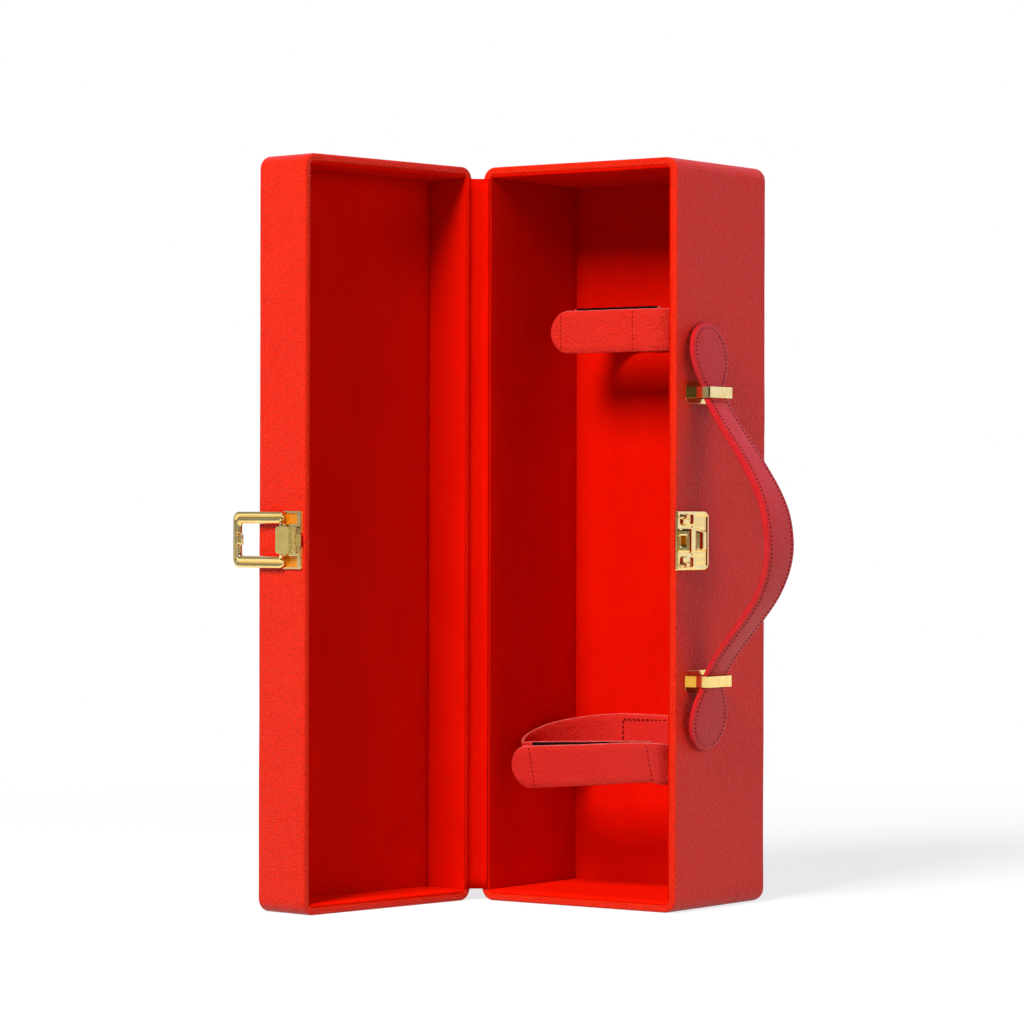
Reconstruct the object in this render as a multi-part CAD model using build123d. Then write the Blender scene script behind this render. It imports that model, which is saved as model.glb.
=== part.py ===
from build123d import *
import math
import os

# A tall case for one bottle, in millimetres, standing on its base with +Z up.
# Origin: centre of the body's base. The open front of the body faces -Y, the hinge is on the -X side,
# the latch and the handle are on the +X side. The lid stands open at the angle of the photograph.

# Outer size of the body and the lid
WIDTH = 114.0
HEIGHT = 360.0
BODY_DEPTH = 80.0
LID_DEPTH = 32.0
CORNER_R = 6.5
PANEL_EDGE_R = 2.0
RIM_EDGE_R = 0.7

# Layers of a wall, from outside to inside
LEATHER = 0.8
WALL_BOARD = 3.0
PANEL_BOARD = 4.0
SIDE_LINING = 0.7
END_LINING = 1.6
BACK_LINING = 0.7
LID_PAD = 2.6
RIM_SETBACK = 0.3

HALF_W = WIDTH / 2
BODY_RIM_Y = -BODY_DEPTH / 2
WALL = LEATHER + WALL_BOARD + SIDE_LINING
BACK_FACE_Y = BODY_DEPTH / 2 - LEATHER - PANEL_BOARD - BACK_LINING

# Hinge: a vertical axis in the middle of the closed joint, outside the hinge side
RIM_GAP = 1.2
LID_RIM_Y = BODY_RIM_Y - RIM_GAP
HINGE_X = -HALF_W - 3.0
HINGE_Y = BODY_RIM_Y - RIM_GAP / 2
LID_OPEN_DEG = 97.2
HINGE_STRIP_INSET = 5.5
VELVET = 0.5
SPINE_FLAP = 7.0

# Draw latch on the lid's latch side: heights above the wall and distances back from the lid's rim
LATCH_Z = 177.2
LATCH_TALL = 27.4
LATCH_PLATE = 1.2
LATCH_PLATE_BACK = (1.2, 13.6)
PIN_BACK = 2.1
PIN_UP = 2.1
PIN_R = 0.6
EAR_R = 0.9
KNUCKLE_R = 1.6
LEVER_WIDE = 12.6
LEVER_TIP_BACK = 14.3
LEVER_TOP = 5.4
BAIL_BACK = 12.6
BAIL_UP = 3.3
BAIL_REACH = 33.4
BAIL_BAND = 5.8
BAIL_THICK = 2.2
BAIL_TALL = 26.8
BAIL_WIRE_R = 0.9
RUNNING = 0.06

# Catch on the body's latch side, distances back from the body's rim
CATCH_LONG = 27.0
CATCH_TALL = 28.4
CATCH_PLATE = 1.2
CATCH_CORNER_R = 4.0
HOOK_WIDE = 11.6
HOOK_HIGH = 6.0
HOOK_SHEET = 0.9

# Handle: a flat strap along Z through two loops
HANDLE_Z = 179.0
HANDLE_Y = BODY_RIM_Y + 22.2
STRAP_WIDE = 17.8
GRIP_WIDE = 22.0
GRIP_HALF_LONG = 44.0
STRAP_THICK = 3.0
LOOP_OFFSET = 69.1
LOOP_WIDE = 20.6
LOOP_HIGH = 11.2
LOOP_TALL = 5.3
LOOP_SHEET = 1.0
LOOP_BASE_WIDE = 30.0
LOOP_BASE_TALL = 10.6
LOOP_BASE = 0.9
DROP_LONG = 29.8
DROP_WIDE = 30.6
DROP_START = 72.7

# Bottle straps
STRAP_TALL = 20.4
BAND = 2.0
TAPE = 1.0
TAPE_GAP = 0.3

RIVET_R = 1.0
RIVET_HEAD_R = 1.8
RIVET_HEAD = 0.7


# Plain blocks and prisms

def block(x, y, z):
    """A box between pairs of coordinates."""
    size = [high - low for low, high in (x, y, z)]
    middle = [(low + high) / 2 for low, high in (x, y, z)]
    return Pos(*middle) * Box(*size)


def case_prism(inset, start, end):
    """The case's rounded outline, set in from the outside, from one depth behind the rim to another."""
    radius = CORNER_R - inset
    outline = RectangleRounded(WIDTH - 2 * inset, HEIGHT - 2 * inset, radius)
    plane = Plane(origin=(0, start, HEIGHT / 2), x_dir=(1, 0, 0), z_dir=(0, 1, 0))
    return extrude(plane * outline, amount=end - start)


def rounded_case(depth):
    """The outside of one half, with small radii along the closed panel and the rim."""
    solid = case_prism(0, 0, depth)
    panel_edges = solid.faces().sort_by(Axis.Y)[-1].edges()
    solid = fillet(panel_edges, PANEL_EDGE_R)
    rim_edges = solid.faces().sort_by(Axis.Y)[0].edges()
    return fillet(rim_edges, RIM_EDGE_R)


# One half of the case, with its rim in the plane Y = 0 and its depth along +Y

def half_case(depth, panel_name, panel_lining):
    """Boards, leather and lining of one half, as a dict of solids."""
    board_in = LEATHER + WALL_BOARD
    panel_front = depth - LEATHER - PANEL_BOARD
    across = HALF_W - board_in
    up = (board_in, HEIGHT - board_in)
    walls_y = (LEATHER, panel_front)
    core = case_prism(LEATHER, LEATHER, depth - LEATHER)

    pieces = {}
    big = HALF_W + 1
    pieces[panel_name + "_board"] = core & block((-big, big), (panel_front, depth), (0, HEIGHT))
    pieces["top_board"] = core & block((-big, big), walls_y, (up[1], HEIGHT))
    pieces["bottom_board"] = core & block((-big, big), walls_y, (0, up[0]))
    pieces["hinge_board"] = core & block((-big, -across), walls_y, up)
    pieces["latch_board"] = core & block((across, big), walls_y, up)

    flat = HALF_W - CORNER_R
    base = block((-flat, flat), (1.0, depth - PANEL_EDGE_R), (0, LEATHER))
    opening = block((-across, across), (-1, LEATHER + 1), up)
    pieces["leather_wrap"] = rounded_case(depth) - core - opening - base
    pieces["base_leather"] = base

    lining_face = panel_front - panel_lining
    inside = HALF_W - WALL
    side_y = (RIM_SETBACK, lining_face)
    end_up = (up[0] + END_LINING, up[1] - END_LINING)
    pieces[panel_name + "_lining"] = block((-across, across), (lining_face, panel_front), up)
    pieces["hinge_lining"] = block((-across, -inside), side_y, up)
    pieces["latch_lining"] = block((inside, across), side_y, up)
    pieces["top_lining"] = block((-inside, inside), side_y, (end_up[1], up[1]))
    pieces["bottom_lining"] = block((-inside, inside), side_y, (up[0], end_up[0]))
    return pieces


def place_body(solid):
    return Pos(0, BODY_RIM_Y, 0) * solid


def close_lid(solid):
    """The lid is built like the body and mirrored, so that its depth runs along -Y."""
    return Pos(0, LID_RIM_Y, 0) * mirror(solid, about=Plane.XZ)


def open_lid(solid):
    """Turns a piece of the closed lid about the hinge to the angle of the photograph."""
    axis = Axis((HINGE_X, HINGE_Y, 0), (0, 0, 1))
    return solid.rotate(axis, -LID_OPEN_DEG)


# Hinge strips

def lid_point(x, y):
    """Where a point of the closed lid is when the lid stands open, in plan."""
    turn = math.radians(-LID_OPEN_DEG)
    dx, dy = x - HINGE_X, y - HINGE_Y
    return (
        HINGE_X + dx * math.cos(turn) - dy * math.sin(turn),
        HINGE_Y + dx * math.sin(turn) + dy * math.cos(turn),
    )


def standing_strip(points):
    """A strip with a constant outline in plan, a little shorter than the case."""
    face = make_face(Polyline(*points, close=True))
    low = HINGE_STRIP_INSET
    return Pos(0, 0, low) * extrude(face, amount=HEIGHT - 2 * low, dir=(0, 0, 1))


def hinge_velvet_strip():
    """Velvet over both rims of the hinge side and across the joint between them."""
    body_in = (-HALF_W + WALL - SIDE_LINING, BODY_RIM_Y)
    body_out = (-HALF_W, BODY_RIM_Y)
    lid_out = (-HALF_W, LID_RIM_Y)
    lid_in = (-HALF_W + WALL - SIDE_LINING, LID_RIM_Y)
    return standing_strip([
        (body_in[0], body_in[1] - VELVET),
        (body_out[0] + 0.3, body_out[1] - VELVET),
        lid_point(lid_out[0] + 0.3, lid_out[1] + VELVET),
        lid_point(lid_in[0], lid_in[1] + VELVET),
        lid_point(*lid_in),
        lid_point(*lid_out),
        body_out,
        body_in,
    ])


def hinge_spine_leather():
    """Outer leather strip: a flap on each hinge wall and a web across the joint."""
    body_y = BODY_RIM_Y
    lid_y = LID_RIM_Y
    out = -HALF_W - LEATHER
    return standing_strip([
        (-HALF_W, body_y + SPINE_FLAP),
        (-HALF_W, body_y),
        lid_point(-HALF_W, lid_y),
        lid_point(-HALF_W, lid_y - SPINE_FLAP),
        lid_point(out, lid_y - SPINE_FLAP),
        lid_point(out, lid_y - 0.5),
        (out, body_y + 0.5),
        (out, body_y + SPINE_FLAP),
    ])


# Hardware on the latch side is drawn in profile: (back from the rim, height above the wall)

def profile(points):
    """A closed outline in the plan plane, from points (x, y)."""
    return make_face(Polyline(*points, close=True))


def prism_z(face, low, high):
    return Pos(0, 0, low) * extrude(face, amount=high - low, dir=(0, 0, 1))


def post_z(x, y, radius, low, high):
    """A round bar along Z."""
    return Pos(x, y, (low + high) / 2) * Cylinder(radius, high - low)


def post_x(y, z, radius, low, high):
    """A round bar along X, such as a rivet's shank."""
    return Pos((low + high) / 2, y, z) * Rot(0, 90, 0) * Cylinder(radius, high - low)


def lid_back(distance):
    """Y of a point of the closed lid at a distance back from its rim."""
    return LID_RIM_Y - distance


def rivet(y, z, seat, end):
    """A rivet from a plate's face into the board: a low head and a shank."""
    head = post_x(y, z, RIVET_HEAD_R, seat, seat + RIVET_HEAD)
    return head + post_x(y, z, RIVET_R, end, seat)


LATCH_RIVETS = [(7.4, -4.0), (7.4, 4.0)]
CATCH_RIVETS = [(20.2, -11.0), (20.2, 11.0)]
LOOP_RIVETS = [-5.0, 5.0]
BOARD_INNER_X = HALF_W - LEATHER - WALL_BOARD


def latch_rivet_shanks():
    return [post_x(lid_back(b), LATCH_Z + z, RIVET_R, BOARD_INNER_X, HALF_W + LATCH_PLATE)
            for b, z in LATCH_RIVETS]


def catch_rivet_shanks():
    return [post_x(BODY_RIM_Y + b, LATCH_Z + z, RIVET_R, BOARD_INNER_X, HALF_W + CATCH_PLATE)
            for b, z in CATCH_RIVETS]


def loop_rivet_shanks():
    return [post_x(HANDLE_Y + y, HANDLE_Z + side * LOOP_OFFSET, RIVET_R, BOARD_INNER_X, HALF_W + LOOP_BASE)
            for side in (-1, 1) for y in LOOP_RIVETS]


def latch_rivets():
    return Compound(children=[rivet(lid_back(b), LATCH_Z + z, HALF_W + LATCH_PLATE, BOARD_INNER_X)
                              for b, z in LATCH_RIVETS])


def catch_rivets():
    flush = []
    for b, z in CATCH_RIVETS:
        y = BODY_RIM_Y + b
        flush.append(post_x(y, LATCH_Z + z, RIVET_R, BOARD_INNER_X, HALF_W + CATCH_PLATE + 0.25))
    return Compound(children=flush)


def loop_rivets():
    return Compound(children=[
        rivet(HANDLE_Y + y, HANDLE_Z + side * LOOP_OFFSET, HALF_W + LOOP_BASE, BOARD_INNER_X)
        for side in (-1, 1) for y in LOOP_RIVETS])


def latch_base_plate():
    """Stamped plate with two sunk pockets beside the lever and two ears that hold the pin."""
    near, far = LATCH_PLATE_BACK
    low, high = LATCH_Z - LATCH_TALL / 2, LATCH_Z + LATCH_TALL / 2
    plate = block((HALF_W, HALF_W + LATCH_PLATE), (lid_back(far), lid_back(near)), (low, high))
    plate = fillet(plate.edges().filter_by(Axis.X), 0.8)
    pocket_floor = HALF_W + 0.45
    for z0, z1 in ((low + 1.0, low + 6.2), (high - 6.2, high - 1.0)):
        pocket = block((pocket_floor, HALF_W + 2), (lid_back(far - 1.2), lid_back(near + 2.6)), (z0, z1))
        plate -= pocket
    rib = block((HALF_W + LATCH_PLATE - 0.2, HALF_W + LATCH_PLATE + 0.5), (lid_back(near + 0.9), lid_back(near)),
                (low + 0.8, high - 0.8))
    clear = LEVER_WIDE / 2 + 0.4
    rib -= block((HALF_W, HALF_W + 5), (lid_back(9), lid_back(-2)), (LATCH_Z - clear, LATCH_Z + clear))
    plate += rib
    ear_y = lid_back(PIN_BACK)
    for z0, z1 in EAR_SPANS:
        ear = post_z(HALF_W + PIN_UP, ear_y, EAR_R, LATCH_Z + z0, LATCH_Z + z1)
        foot = block((HALF_W + LATCH_PLATE - 0.2, HALF_W + PIN_UP), (ear_y - EAR_R, ear_y + EAR_R),
                     (LATCH_Z + z0, LATCH_Z + z1))
        plate += ear + foot
    slot_half = KNUCKLE_HALF + 0.3
    plate -= block((HALF_W, HALF_W + 5), (lid_back(PIN_BACK + 2.3), lid_back(-2)),
                   (LATCH_Z - slot_half, LATCH_Z + slot_half))
    plate -= post_z(HALF_W + PIN_UP, ear_y, PIN_R, LATCH_Z - 8, LATCH_Z + 8)
    for shank in latch_rivet_shanks():
        plate -= shank
    return plate


EAR_SPANS = [(-5.6, -3.1), (3.1, 5.6)]
KNUCKLE_HALF = 2.8


def latch_pin():
    return post_z(HALF_W + PIN_UP, lid_back(PIN_BACK), PIN_R, LATCH_Z - 5.6, LATCH_Z + 5.6)


def latch_lever():
    """Thumb lever: a curl round the pin, a low ribbed step and a flat tongue with two lugs under its end."""
    top = HALF_W + LEVER_TOP
    pin_x, pin_y = HALF_W + PIN_UP, lid_back(PIN_BACK)
    half = LEVER_WIDE / 2
    step_top = top - 1.3
    body = profile([
        (step_top, lid_back(PIN_BACK)),
        (step_top, lid_back(4.9)),
        (top, lid_back(5.5)),
        (top, lid_back(LEVER_TIP_BACK)),
        (top - 0.9, lid_back(LEVER_TIP_BACK)),
        (top - 0.9, lid_back(6.1)),
        (step_top - 0.8, lid_back(5.4)),
        (step_top - 0.8, lid_back(PIN_BACK)),
    ])
    lever = prism_z(body, LATCH_Z - half, LATCH_Z + half)
    corners = lever.edges().filter_by(Axis.X).sort_by(Axis.Y)[:2]
    lever = fillet(corners, 1.6)
    for k in range(4):
        z = LATCH_Z - 4.5 + 3.0 * k
        lever += block((step_top - 0.1, step_top + 0.25), (lid_back(4.4), lid_back(2.6)), (z - 0.55, z + 0.55))
    knuckle = post_z(pin_x, pin_y, KNUCKLE_R, LATCH_Z - KNUCKLE_HALF, LATCH_Z + KNUCKLE_HALF)
    web = block((pin_x, step_top - 0.4), (pin_y - KNUCKLE_R, pin_y),
                (LATCH_Z - KNUCKLE_HALF, LATCH_Z + KNUCKLE_HALF))
    lever += knuckle + web
    pivot_x, pivot_y = HALF_W + BAIL_UP, lid_back(BAIL_BACK)
    for side in (-1, 1):
        inner, outer = sorted((LATCH_Z + side * (half - 1.8), LATCH_Z + side * half))
        lug = post_z(pivot_x, pivot_y, 1.6, inner, outer)
        neck = block((pivot_x, top - 0.5), (pivot_y - 1.6, pivot_y + 1.6), (inner, outer))
        lever += lug + neck
    lever -= post_z(pin_x, pin_y, PIN_R + RUNNING, LATCH_Z - 9, LATCH_Z + 9)
    lever -= post_z(pivot_x, pivot_y, BAIL_WIRE_R + RUNNING, LATCH_Z - 9, LATCH_Z + 9)
    return lever


def latch_bail():
    """Rounded rectangular frame with two inward pivots and a hooking tab, laid back along the lid."""
    x0 = HALF_W + BAIL_UP - BAIL_THICK / 2
    pivot_y = lid_back(BAIL_BACK)
    root_y = pivot_y + 1.1
    end_y = pivot_y - BAIL_REACH
    half = BAIL_TALL / 2
    window = half - BAIL_BAND - 0.35
    frame = block((x0, x0 + BAIL_THICK), (end_y, root_y), (LATCH_Z - half, LATCH_Z + half))
    frame = fillet(frame.edges().filter_by(Axis.X).sort_by(Axis.Y)[:2], 4.0)
    frame = fillet(frame.edges().filter_by(Axis.X).sort_by(Axis.Y)[-2:], 2.6)
    hole = block((x0 - 1, x0 + 4), (end_y + BAIL_BAND, root_y + 9), (LATCH_Z - window, LATCH_Z + window))
    hole = fillet(hole.edges().filter_by(Axis.X).sort_by(Axis.Y)[:2], 1.8)
    frame -= hole
    outer_edges = frame.faces().sort_by(Axis.X)[-1].edges()
    frame = fillet(outer_edges, 0.7)
    inner_edges = frame.faces().sort_by(Axis.X)[0].edges()
    frame = fillet(inner_edges, 0.5)
    for side in (-1, 1):
        low, high = sorted((LATCH_Z + side * (LEVER_WIDE / 2 - 1.6), LATCH_Z + side * (window + 1.5)))
        frame += post_z(x0 + BAIL_THICK / 2, pivot_y, BAIL_WIRE_R, low, high)
    tab_y = end_y + BAIL_BAND
    tab = profile([
        (x0 + 0.9, tab_y - 0.6),
        (x0 + 1.9, tab_y - 0.6),
        (x0 + 3.1, tab_y + 2.7),
        (x0 + 2.2, tab_y + 3.0),
    ])
    return frame + prism_z(tab, LATCH_Z - 2.65, LATCH_Z + 2.65)


def catch_plate():
    """Stamped plate with two low saddles, a dished recess and a rolled hook that opens away from the rim."""
    low, high = LATCH_Z - CATCH_TALL / 2, LATCH_Z + CATCH_TALL / 2
    y0 = BODY_RIM_Y
    top = HALF_W + CATCH_PLATE
    plate = block((HALF_W, top), (y0, y0 + CATCH_LONG), (low, high))
    plate = fillet(plate.edges().filter_by(Axis.X).sort_by(Axis.Y)[-2:], CATCH_CORNER_R)
    plate = fillet(plate.faces().sort_by(Axis.X)[-1].edges(), 0.35)
    rise = 0.6
    for z0, z1 in ((low + 0.9, low + 6.6), (high - 6.6, high - 0.9)):
        for back, length in ((5.0, 5.0), (11.6, 5.0)):
            radius = (length ** 2 / 4 + rise ** 2) / (2 * rise)
            hump = post_z(top + rise - radius, y0 + back, radius, z0, z1)
            plate += hump & block((top - 0.3, top + 3), (y0, y0 + 20), (z0, z1))
    plate -= post_z(top + 4.2, y0 + 20.4, 5.2, LATCH_Z - 5.6, LATCH_Z + 5.6)
    half = HOOK_WIDE / 2
    outer = hook_arch(0.35, 11.7, HOOK_HIGH)
    inner = hook_arch(0.35 + HOOK_SHEET, 11.7 - HOOK_SHEET, HOOK_HIGH - HOOK_SHEET)
    hook = prism_z(outer, LATCH_Z - half, LATCH_Z + half) - prism_z(inner, LATCH_Z - half, LATCH_Z + half)
    mouth = block((HALF_W, HALF_W + 3.1), (y0 + 7.5, y0 + 14), (LATCH_Z - 9, LATCH_Z + 9))
    hook = (hook - mouth) & block((HALF_W + 0.6, HALF_W + 9), (y0, y0 + 14), (LATCH_Z - 9, LATCH_Z + 9))
    slot = block((HALF_W + 1.9, HALF_W + 4.4), (y0 - 1, y0 + 3.4), (LATCH_Z - 2.8, LATCH_Z + 2.8))
    plate += hook - slot
    for shank in catch_rivet_shanks():
        plate -= shank
    return plate


def hook_arch(back0, back1, high):
    """Outline of the rolled hook: an arch standing on the wall."""
    y0, y1 = BODY_RIM_Y + back0, BODY_RIM_Y + back1
    shoulder = high * 0.42
    left = Line((HALF_W, y0), (HALF_W + shoulder, y0))
    arch = ThreePointArc((HALF_W + shoulder, y0), (HALF_W + high, (y0 + y1) / 2 - 0.6), (HALF_W + shoulder, y1))
    right = Line((HALF_W + shoulder, y1), (HALF_W, y1))
    foot = Line((HALF_W, y1), (HALF_W, y0))
    return make_face([left, arch, right, foot])


# Handle

def handle_loop(side):
    """A rectangular loop of flat bar on a thin base plate."""
    z = HANDLE_Z + side * LOOP_OFFSET
    y0, y1 = HANDLE_Y - LOOP_WIDE / 2, HANDLE_Y + LOOP_WIDE / 2
    base = block((HALF_W, HALF_W + LOOP_BASE), (HANDLE_Y - LOOP_BASE_WIDE / 2, HANDLE_Y + LOOP_BASE_WIDE / 2),
                 (z - LOOP_BASE_TALL / 2, z + LOOP_BASE_TALL / 2))
    base = fillet(base.edges().filter_by(Axis.X), 3.0)
    bar = block((HALF_W + LOOP_BASE - 0.2, HALF_W + LOOP_HIGH), (y0, y1), (z - LOOP_TALL / 2, z + LOOP_TALL / 2))
    bar = fillet(bar.edges().filter_by(Axis.Z).sort_by(Axis.X)[-2:], 0.8)
    window = block((HALF_W, HALF_W + LOOP_HIGH - LOOP_SHEET), (y0 + LOOP_SHEET, y1 - LOOP_SHEET),
                   (z - 5, z + 5))
    bar -= window & block((HALF_W + LOOP_BASE, HALF_W + 20), (y0, y1), (z - 5, z + 5))
    loop = base + bar
    for y in LOOP_RIVETS:
        loop -= post_x(HANDLE_Y + y, z, RIVET_R, HALF_W - 1, HALF_W + LOOP_BASE)
    return loop


# Middle line of the strap from tip to tip: (offset along Z from the handle's middle, height above the wall)
DROP_TIP = DROP_START + DROP_LONG
START_UP = 6.1
TIP_UP = 2.0
HANDLE_LINE = [
    (-DROP_TIP, TIP_UP), (-78.5, 5.3), (-DROP_START, START_UP), (-66.8, 7.7), (-56.0, 14.6), (-40.0, 28.2),
    (-22.0, 40.4), (-4.5, 44.0), (13.5, 41.2), (32.0, 31.4), (51.0, 17.7), (66.8, 7.7), (DROP_START, START_UP),
    (78.5, 5.3), (DROP_TIP, TIP_UP),
]
GRIP_SPAN = (-27.0, 22.0)
HANDLE_SAMPLES = 14


def handle_spline():
    return Spline(*[(HALF_W + h, 0, HANDLE_Z + dz) for dz, h in HANDLE_LINE])


def share_at(line, dz):
    """How far along the strap's middle line, as a share of its length, it reaches an offset along Z."""
    low, high = 0.0, 1.0
    for _ in range(40):
        middle = (low + high) / 2
        if line.position_at(middle).Z < HANDLE_Z + dz:
            low = middle
        else:
            high = middle
    return low


def strap_outline():
    """The strap seen from its face, wider in the middle where the hand holds it, as a thick solid to cut with."""
    stations = [-DROP_START - 4, -60.0, -GRIP_HALF_LONG, -33.0, -22.0, -11.0, 0.0, 11.0, 22.0, 33.0, GRIP_HALF_LONG,
                60.0, DROP_START + 4]
    left, right = [], []
    for dz in stations:
        swell = math.cos(math.pi * dz / (2 * GRIP_HALF_LONG)) ** 2 if abs(dz) < GRIP_HALF_LONG else 0.0
        half = STRAP_WIDE / 2 + (GRIP_WIDE - STRAP_WIDE) / 2 * swell
        left.append((HALF_W, HANDLE_Y - half, HANDLE_Z + dz))
        right.append((HALF_W, HANDLE_Y + half, HANDLE_Z + dz))
    face = make_face([Spline(*left), Line(left[-1], right[-1]), Spline(*right), Line(right[0], left[0])])
    return extrude(face, amount=60, dir=(1, 0, 0))


def strap_piece(start_dz, end_dz):
    """A stretch of the strap between two offsets along Z, with square ends."""
    line = handle_spline()
    start, end = share_at(line, start_dz), share_at(line, end_dz)
    inner, outer = [], []
    for k in range(HANDLE_SAMPLES + 1):
        u = start + (end - start) * k / HANDLE_SAMPLES
        p, t = line.position_at(u), line.tangent_at(u)
        nx, nz = t.Z, -t.X
        inner.append((p.X - nx * STRAP_THICK / 2, 0, p.Z - nz * STRAP_THICK / 2))
        outer.append((p.X + nx * STRAP_THICK / 2, 0, p.Z + nz * STRAP_THICK / 2))
    edges = [Spline(*inner), Line(inner[-1], outer[-1]), Spline(*outer), Line(outer[0], inner[0])]
    face = make_face(edges)
    slab = Pos(0, HANDLE_Y - GRIP_WIDE / 2 - 1, 0) * extrude(face, amount=GRIP_WIDE + 2, dir=(0, 1, 0))
    return slab & strap_outline()


def drop_end(side):
    """The drop-shaped end of the strap, lying from the loop down to the wall."""
    start = Vector(HALF_W + START_UP, 0, HANDLE_Z + side * (DROP_START + 0.15))
    radius = DROP_WIDE / 2
    centre = DROP_LONG - radius
    half = STRAP_WIDE / 2
    left = Spline((0, half), (centre * 0.45, half + 2.6), (centre, radius), tangents=((1, 0), (1, 0)))
    right = Spline((0, -half), (centre * 0.45, -half - 2.6), (centre, -radius), tangents=((1, 0), (1, 0)))
    nose = ThreePointArc((centre, radius), (DROP_LONG, 0), (centre, -radius))
    back = Line((0, -half), (0, half))
    face = make_face([left, nose, right, back])
    along = Vector(TIP_UP - START_UP, 0, side * DROP_LONG)
    across = Vector(0, 1, 0)
    normal = along.cross(across)
    plane = Plane(origin=(start.X, HANDLE_Y, start.Z), x_dir=along, z_dir=normal)
    solid = extrude(plane * face, amount=STRAP_THICK / 2, both=True)
    return solid


# Bottle straps: plan points of the band's middle line with the height of its top edge

def ribbon(points, ends, thickness, tall=STRAP_TALL):
    """A standing band along points (x, y, top edge), as a ruled loft through its upright sections."""
    line = Spline(*[(x, y, 0) for x, y, _ in points], tangents=ends)
    count = 4 * (len(points) - 1)
    lengths = [0.0]
    for (x0, y0, _), (x1, y1, _) in zip(points, points[1:]):
        lengths.append(lengths[-1] + math.hypot(x1 - x0, y1 - y0))
    tops = [p[2] for p in points]
    sections = []
    for k in range(count + 1):
        u = k / count
        p, t = line.position_at(u), line.tangent_at(u)
        top = interpolate(u * lengths[-1], lengths, tops)
        plane = Plane(origin=(p.X, p.Y, top - tall / 2), x_dir=(-t.Y, t.X, 0), z_dir=(t.X, t.Y, 0))
        sections.append(plane * Rectangle(thickness, tall))
    return loft(sections, ruled=True)


def interpolate(at, stations, values):
    for (s0, v0), (s1, v1) in zip(zip(stations, values), zip(stations[1:], values[1:])):
        if at <= s1:
            return v0 + (v1 - v0) * (at - s0) / (s1 - s0)
    return values[-1]


def straight_ribbon(x0, x1, y, top0, top1, thickness, tall):
    """A flat band parallel to the front, whose height may change along it."""
    corners = [(x0, top0 - tall), (x1, top1 - tall), (x1, top1), (x0, top0)]
    face = make_face(Polyline(*[(x, y, z) for x, z in corners], close=True))
    return extrude(face, amount=thickness, dir=(0, 1, 0))


def tab_ribbon(x_hinge, x_tip, y, top_hinge, top_tip, thickness):
    """The free end of the band in front, with a rounded tip on the hinge side."""
    radius = STRAP_TALL / 2
    x_round = x_tip + radius
    slope = (top_tip - top_hinge) / (x_tip - x_hinge)
    top_round = top_hinge + slope * (x_round - x_hinge)
    top = Line((x_hinge, y, top_hinge), (x_round, y, top_round))
    tip = ThreePointArc((x_round, y, top_round), (x_tip, y, top_tip - radius), (x_round, y, top_round - STRAP_TALL))
    low = Line((x_round, y, top_round - STRAP_TALL), (x_hinge, y, top_hinge - STRAP_TALL))
    end = Line((x_hinge, y, top_hinge - STRAP_TALL), (x_hinge, y, top_hinge))
    return extrude(make_face([top, tip, low, end]), amount=thickness, dir=(0, 1, 0))


WALL_Y = BACK_FACE_Y - BAND / 2

# Body strap: its patch on the back wall, the front plane of its inner arm and its drooping front
BODY_STRAP = {
    "patch": (-25.0, 25.0, 88.5),
    "front_y": -28.6,
    "tab_hinge_x": 38.5,
    "tab_tip_x": -43.3,
    "tape_x": (-31.4, 37.2),
    "hook_x": (-33.0, 34.0),
    "tops": {"tab_hinge": 79.3, "tab_tip": 74.4, "inner_left": 76.8, "inner_right": 80.8},
    "inner_x": (-31.6, 37.8),
    "left": [(-39.1, 22.0, 87.3), (-47.6, 7.0, 85.1), (-49.8, -6.0, 82.0), (-47.8, -17.0, 79.2),
             (-42.0, -25.4, 77.4)],
    "right": [(37.9, 24.2, 87.3), (46.1, 10.0, 84.6), (48.4, -4.0, 82.6), (47.0, -17.4, 80.8),
              (43.8, -28.6, 79.8)],
}

# Neck strap: shorter, level, and nearer the back wall
NECK_STRAP = {
    "patch": (-15.0, 15.0, 291.6),
    "front_y": -3.8,
    "tab_hinge_x": 23.4,
    "tab_tip_x": -38.0,
    "tape_x": (-23.4, 23.2),
    "hook_x": (-30.0, 11.2),
    "tops": {"tab_hinge": 289.3, "tab_tip": 289.4, "inner_left": 291.2, "inner_right": 291.2},
    "inner_x": (-23.6, 23.8),
    "left": [(-24.4, 27.4, 291.5), (-29.8, 18.0, 291.4), (-31.4, 7.6, 291.3), (-29.2, -0.4, 291.2)],
    "right": [(24.4, 27.4, 291.0), (29.8, 18.0, 290.2), (31.6, 6.0, 289.7), (29.4, -4.4, 289.4)],
}


def tab_y(strap):
    """Front face of the tab: outside the inner arm, its tape, the gap and the hook tape."""
    return strap["front_y"] - BAND / 2 - TAPE - TAPE_GAP - TAPE - BAND


def strap_band(strap):
    """Patch on the back wall, left side, inner arm in front, and right side up to the tab."""
    tops = strap["tops"]
    x0, x1, patch_top = strap["patch"]
    inner_x = strap["inner_x"]
    inner_y = strap["front_y"]
    patch = straight_ribbon(x0, x1, WALL_Y - BAND / 2, patch_top, patch_top, BAND, STRAP_TALL)
    left = [(x0, WALL_Y, patch_top)] + strap["left"] + [(inner_x[0], inner_y, tops["inner_left"])]
    arm = straight_ribbon(*inner_x, inner_y - BAND / 2, tops["inner_left"], tops["inner_right"], BAND, STRAP_TALL)
    hinge_y = tab_y(strap) + BAND / 2
    right = [(x1, WALL_Y, patch_top)] + strap["right"] + [(strap["tab_hinge_x"], hinge_y, tops["tab_hinge"])]
    band = patch + ribbon(left, ((-1, 0, 0), (1, 0, 0)), BAND)
    return band + arm + ribbon(right, ((1, 0, 0), (-1, 0, 0)), BAND)


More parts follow.
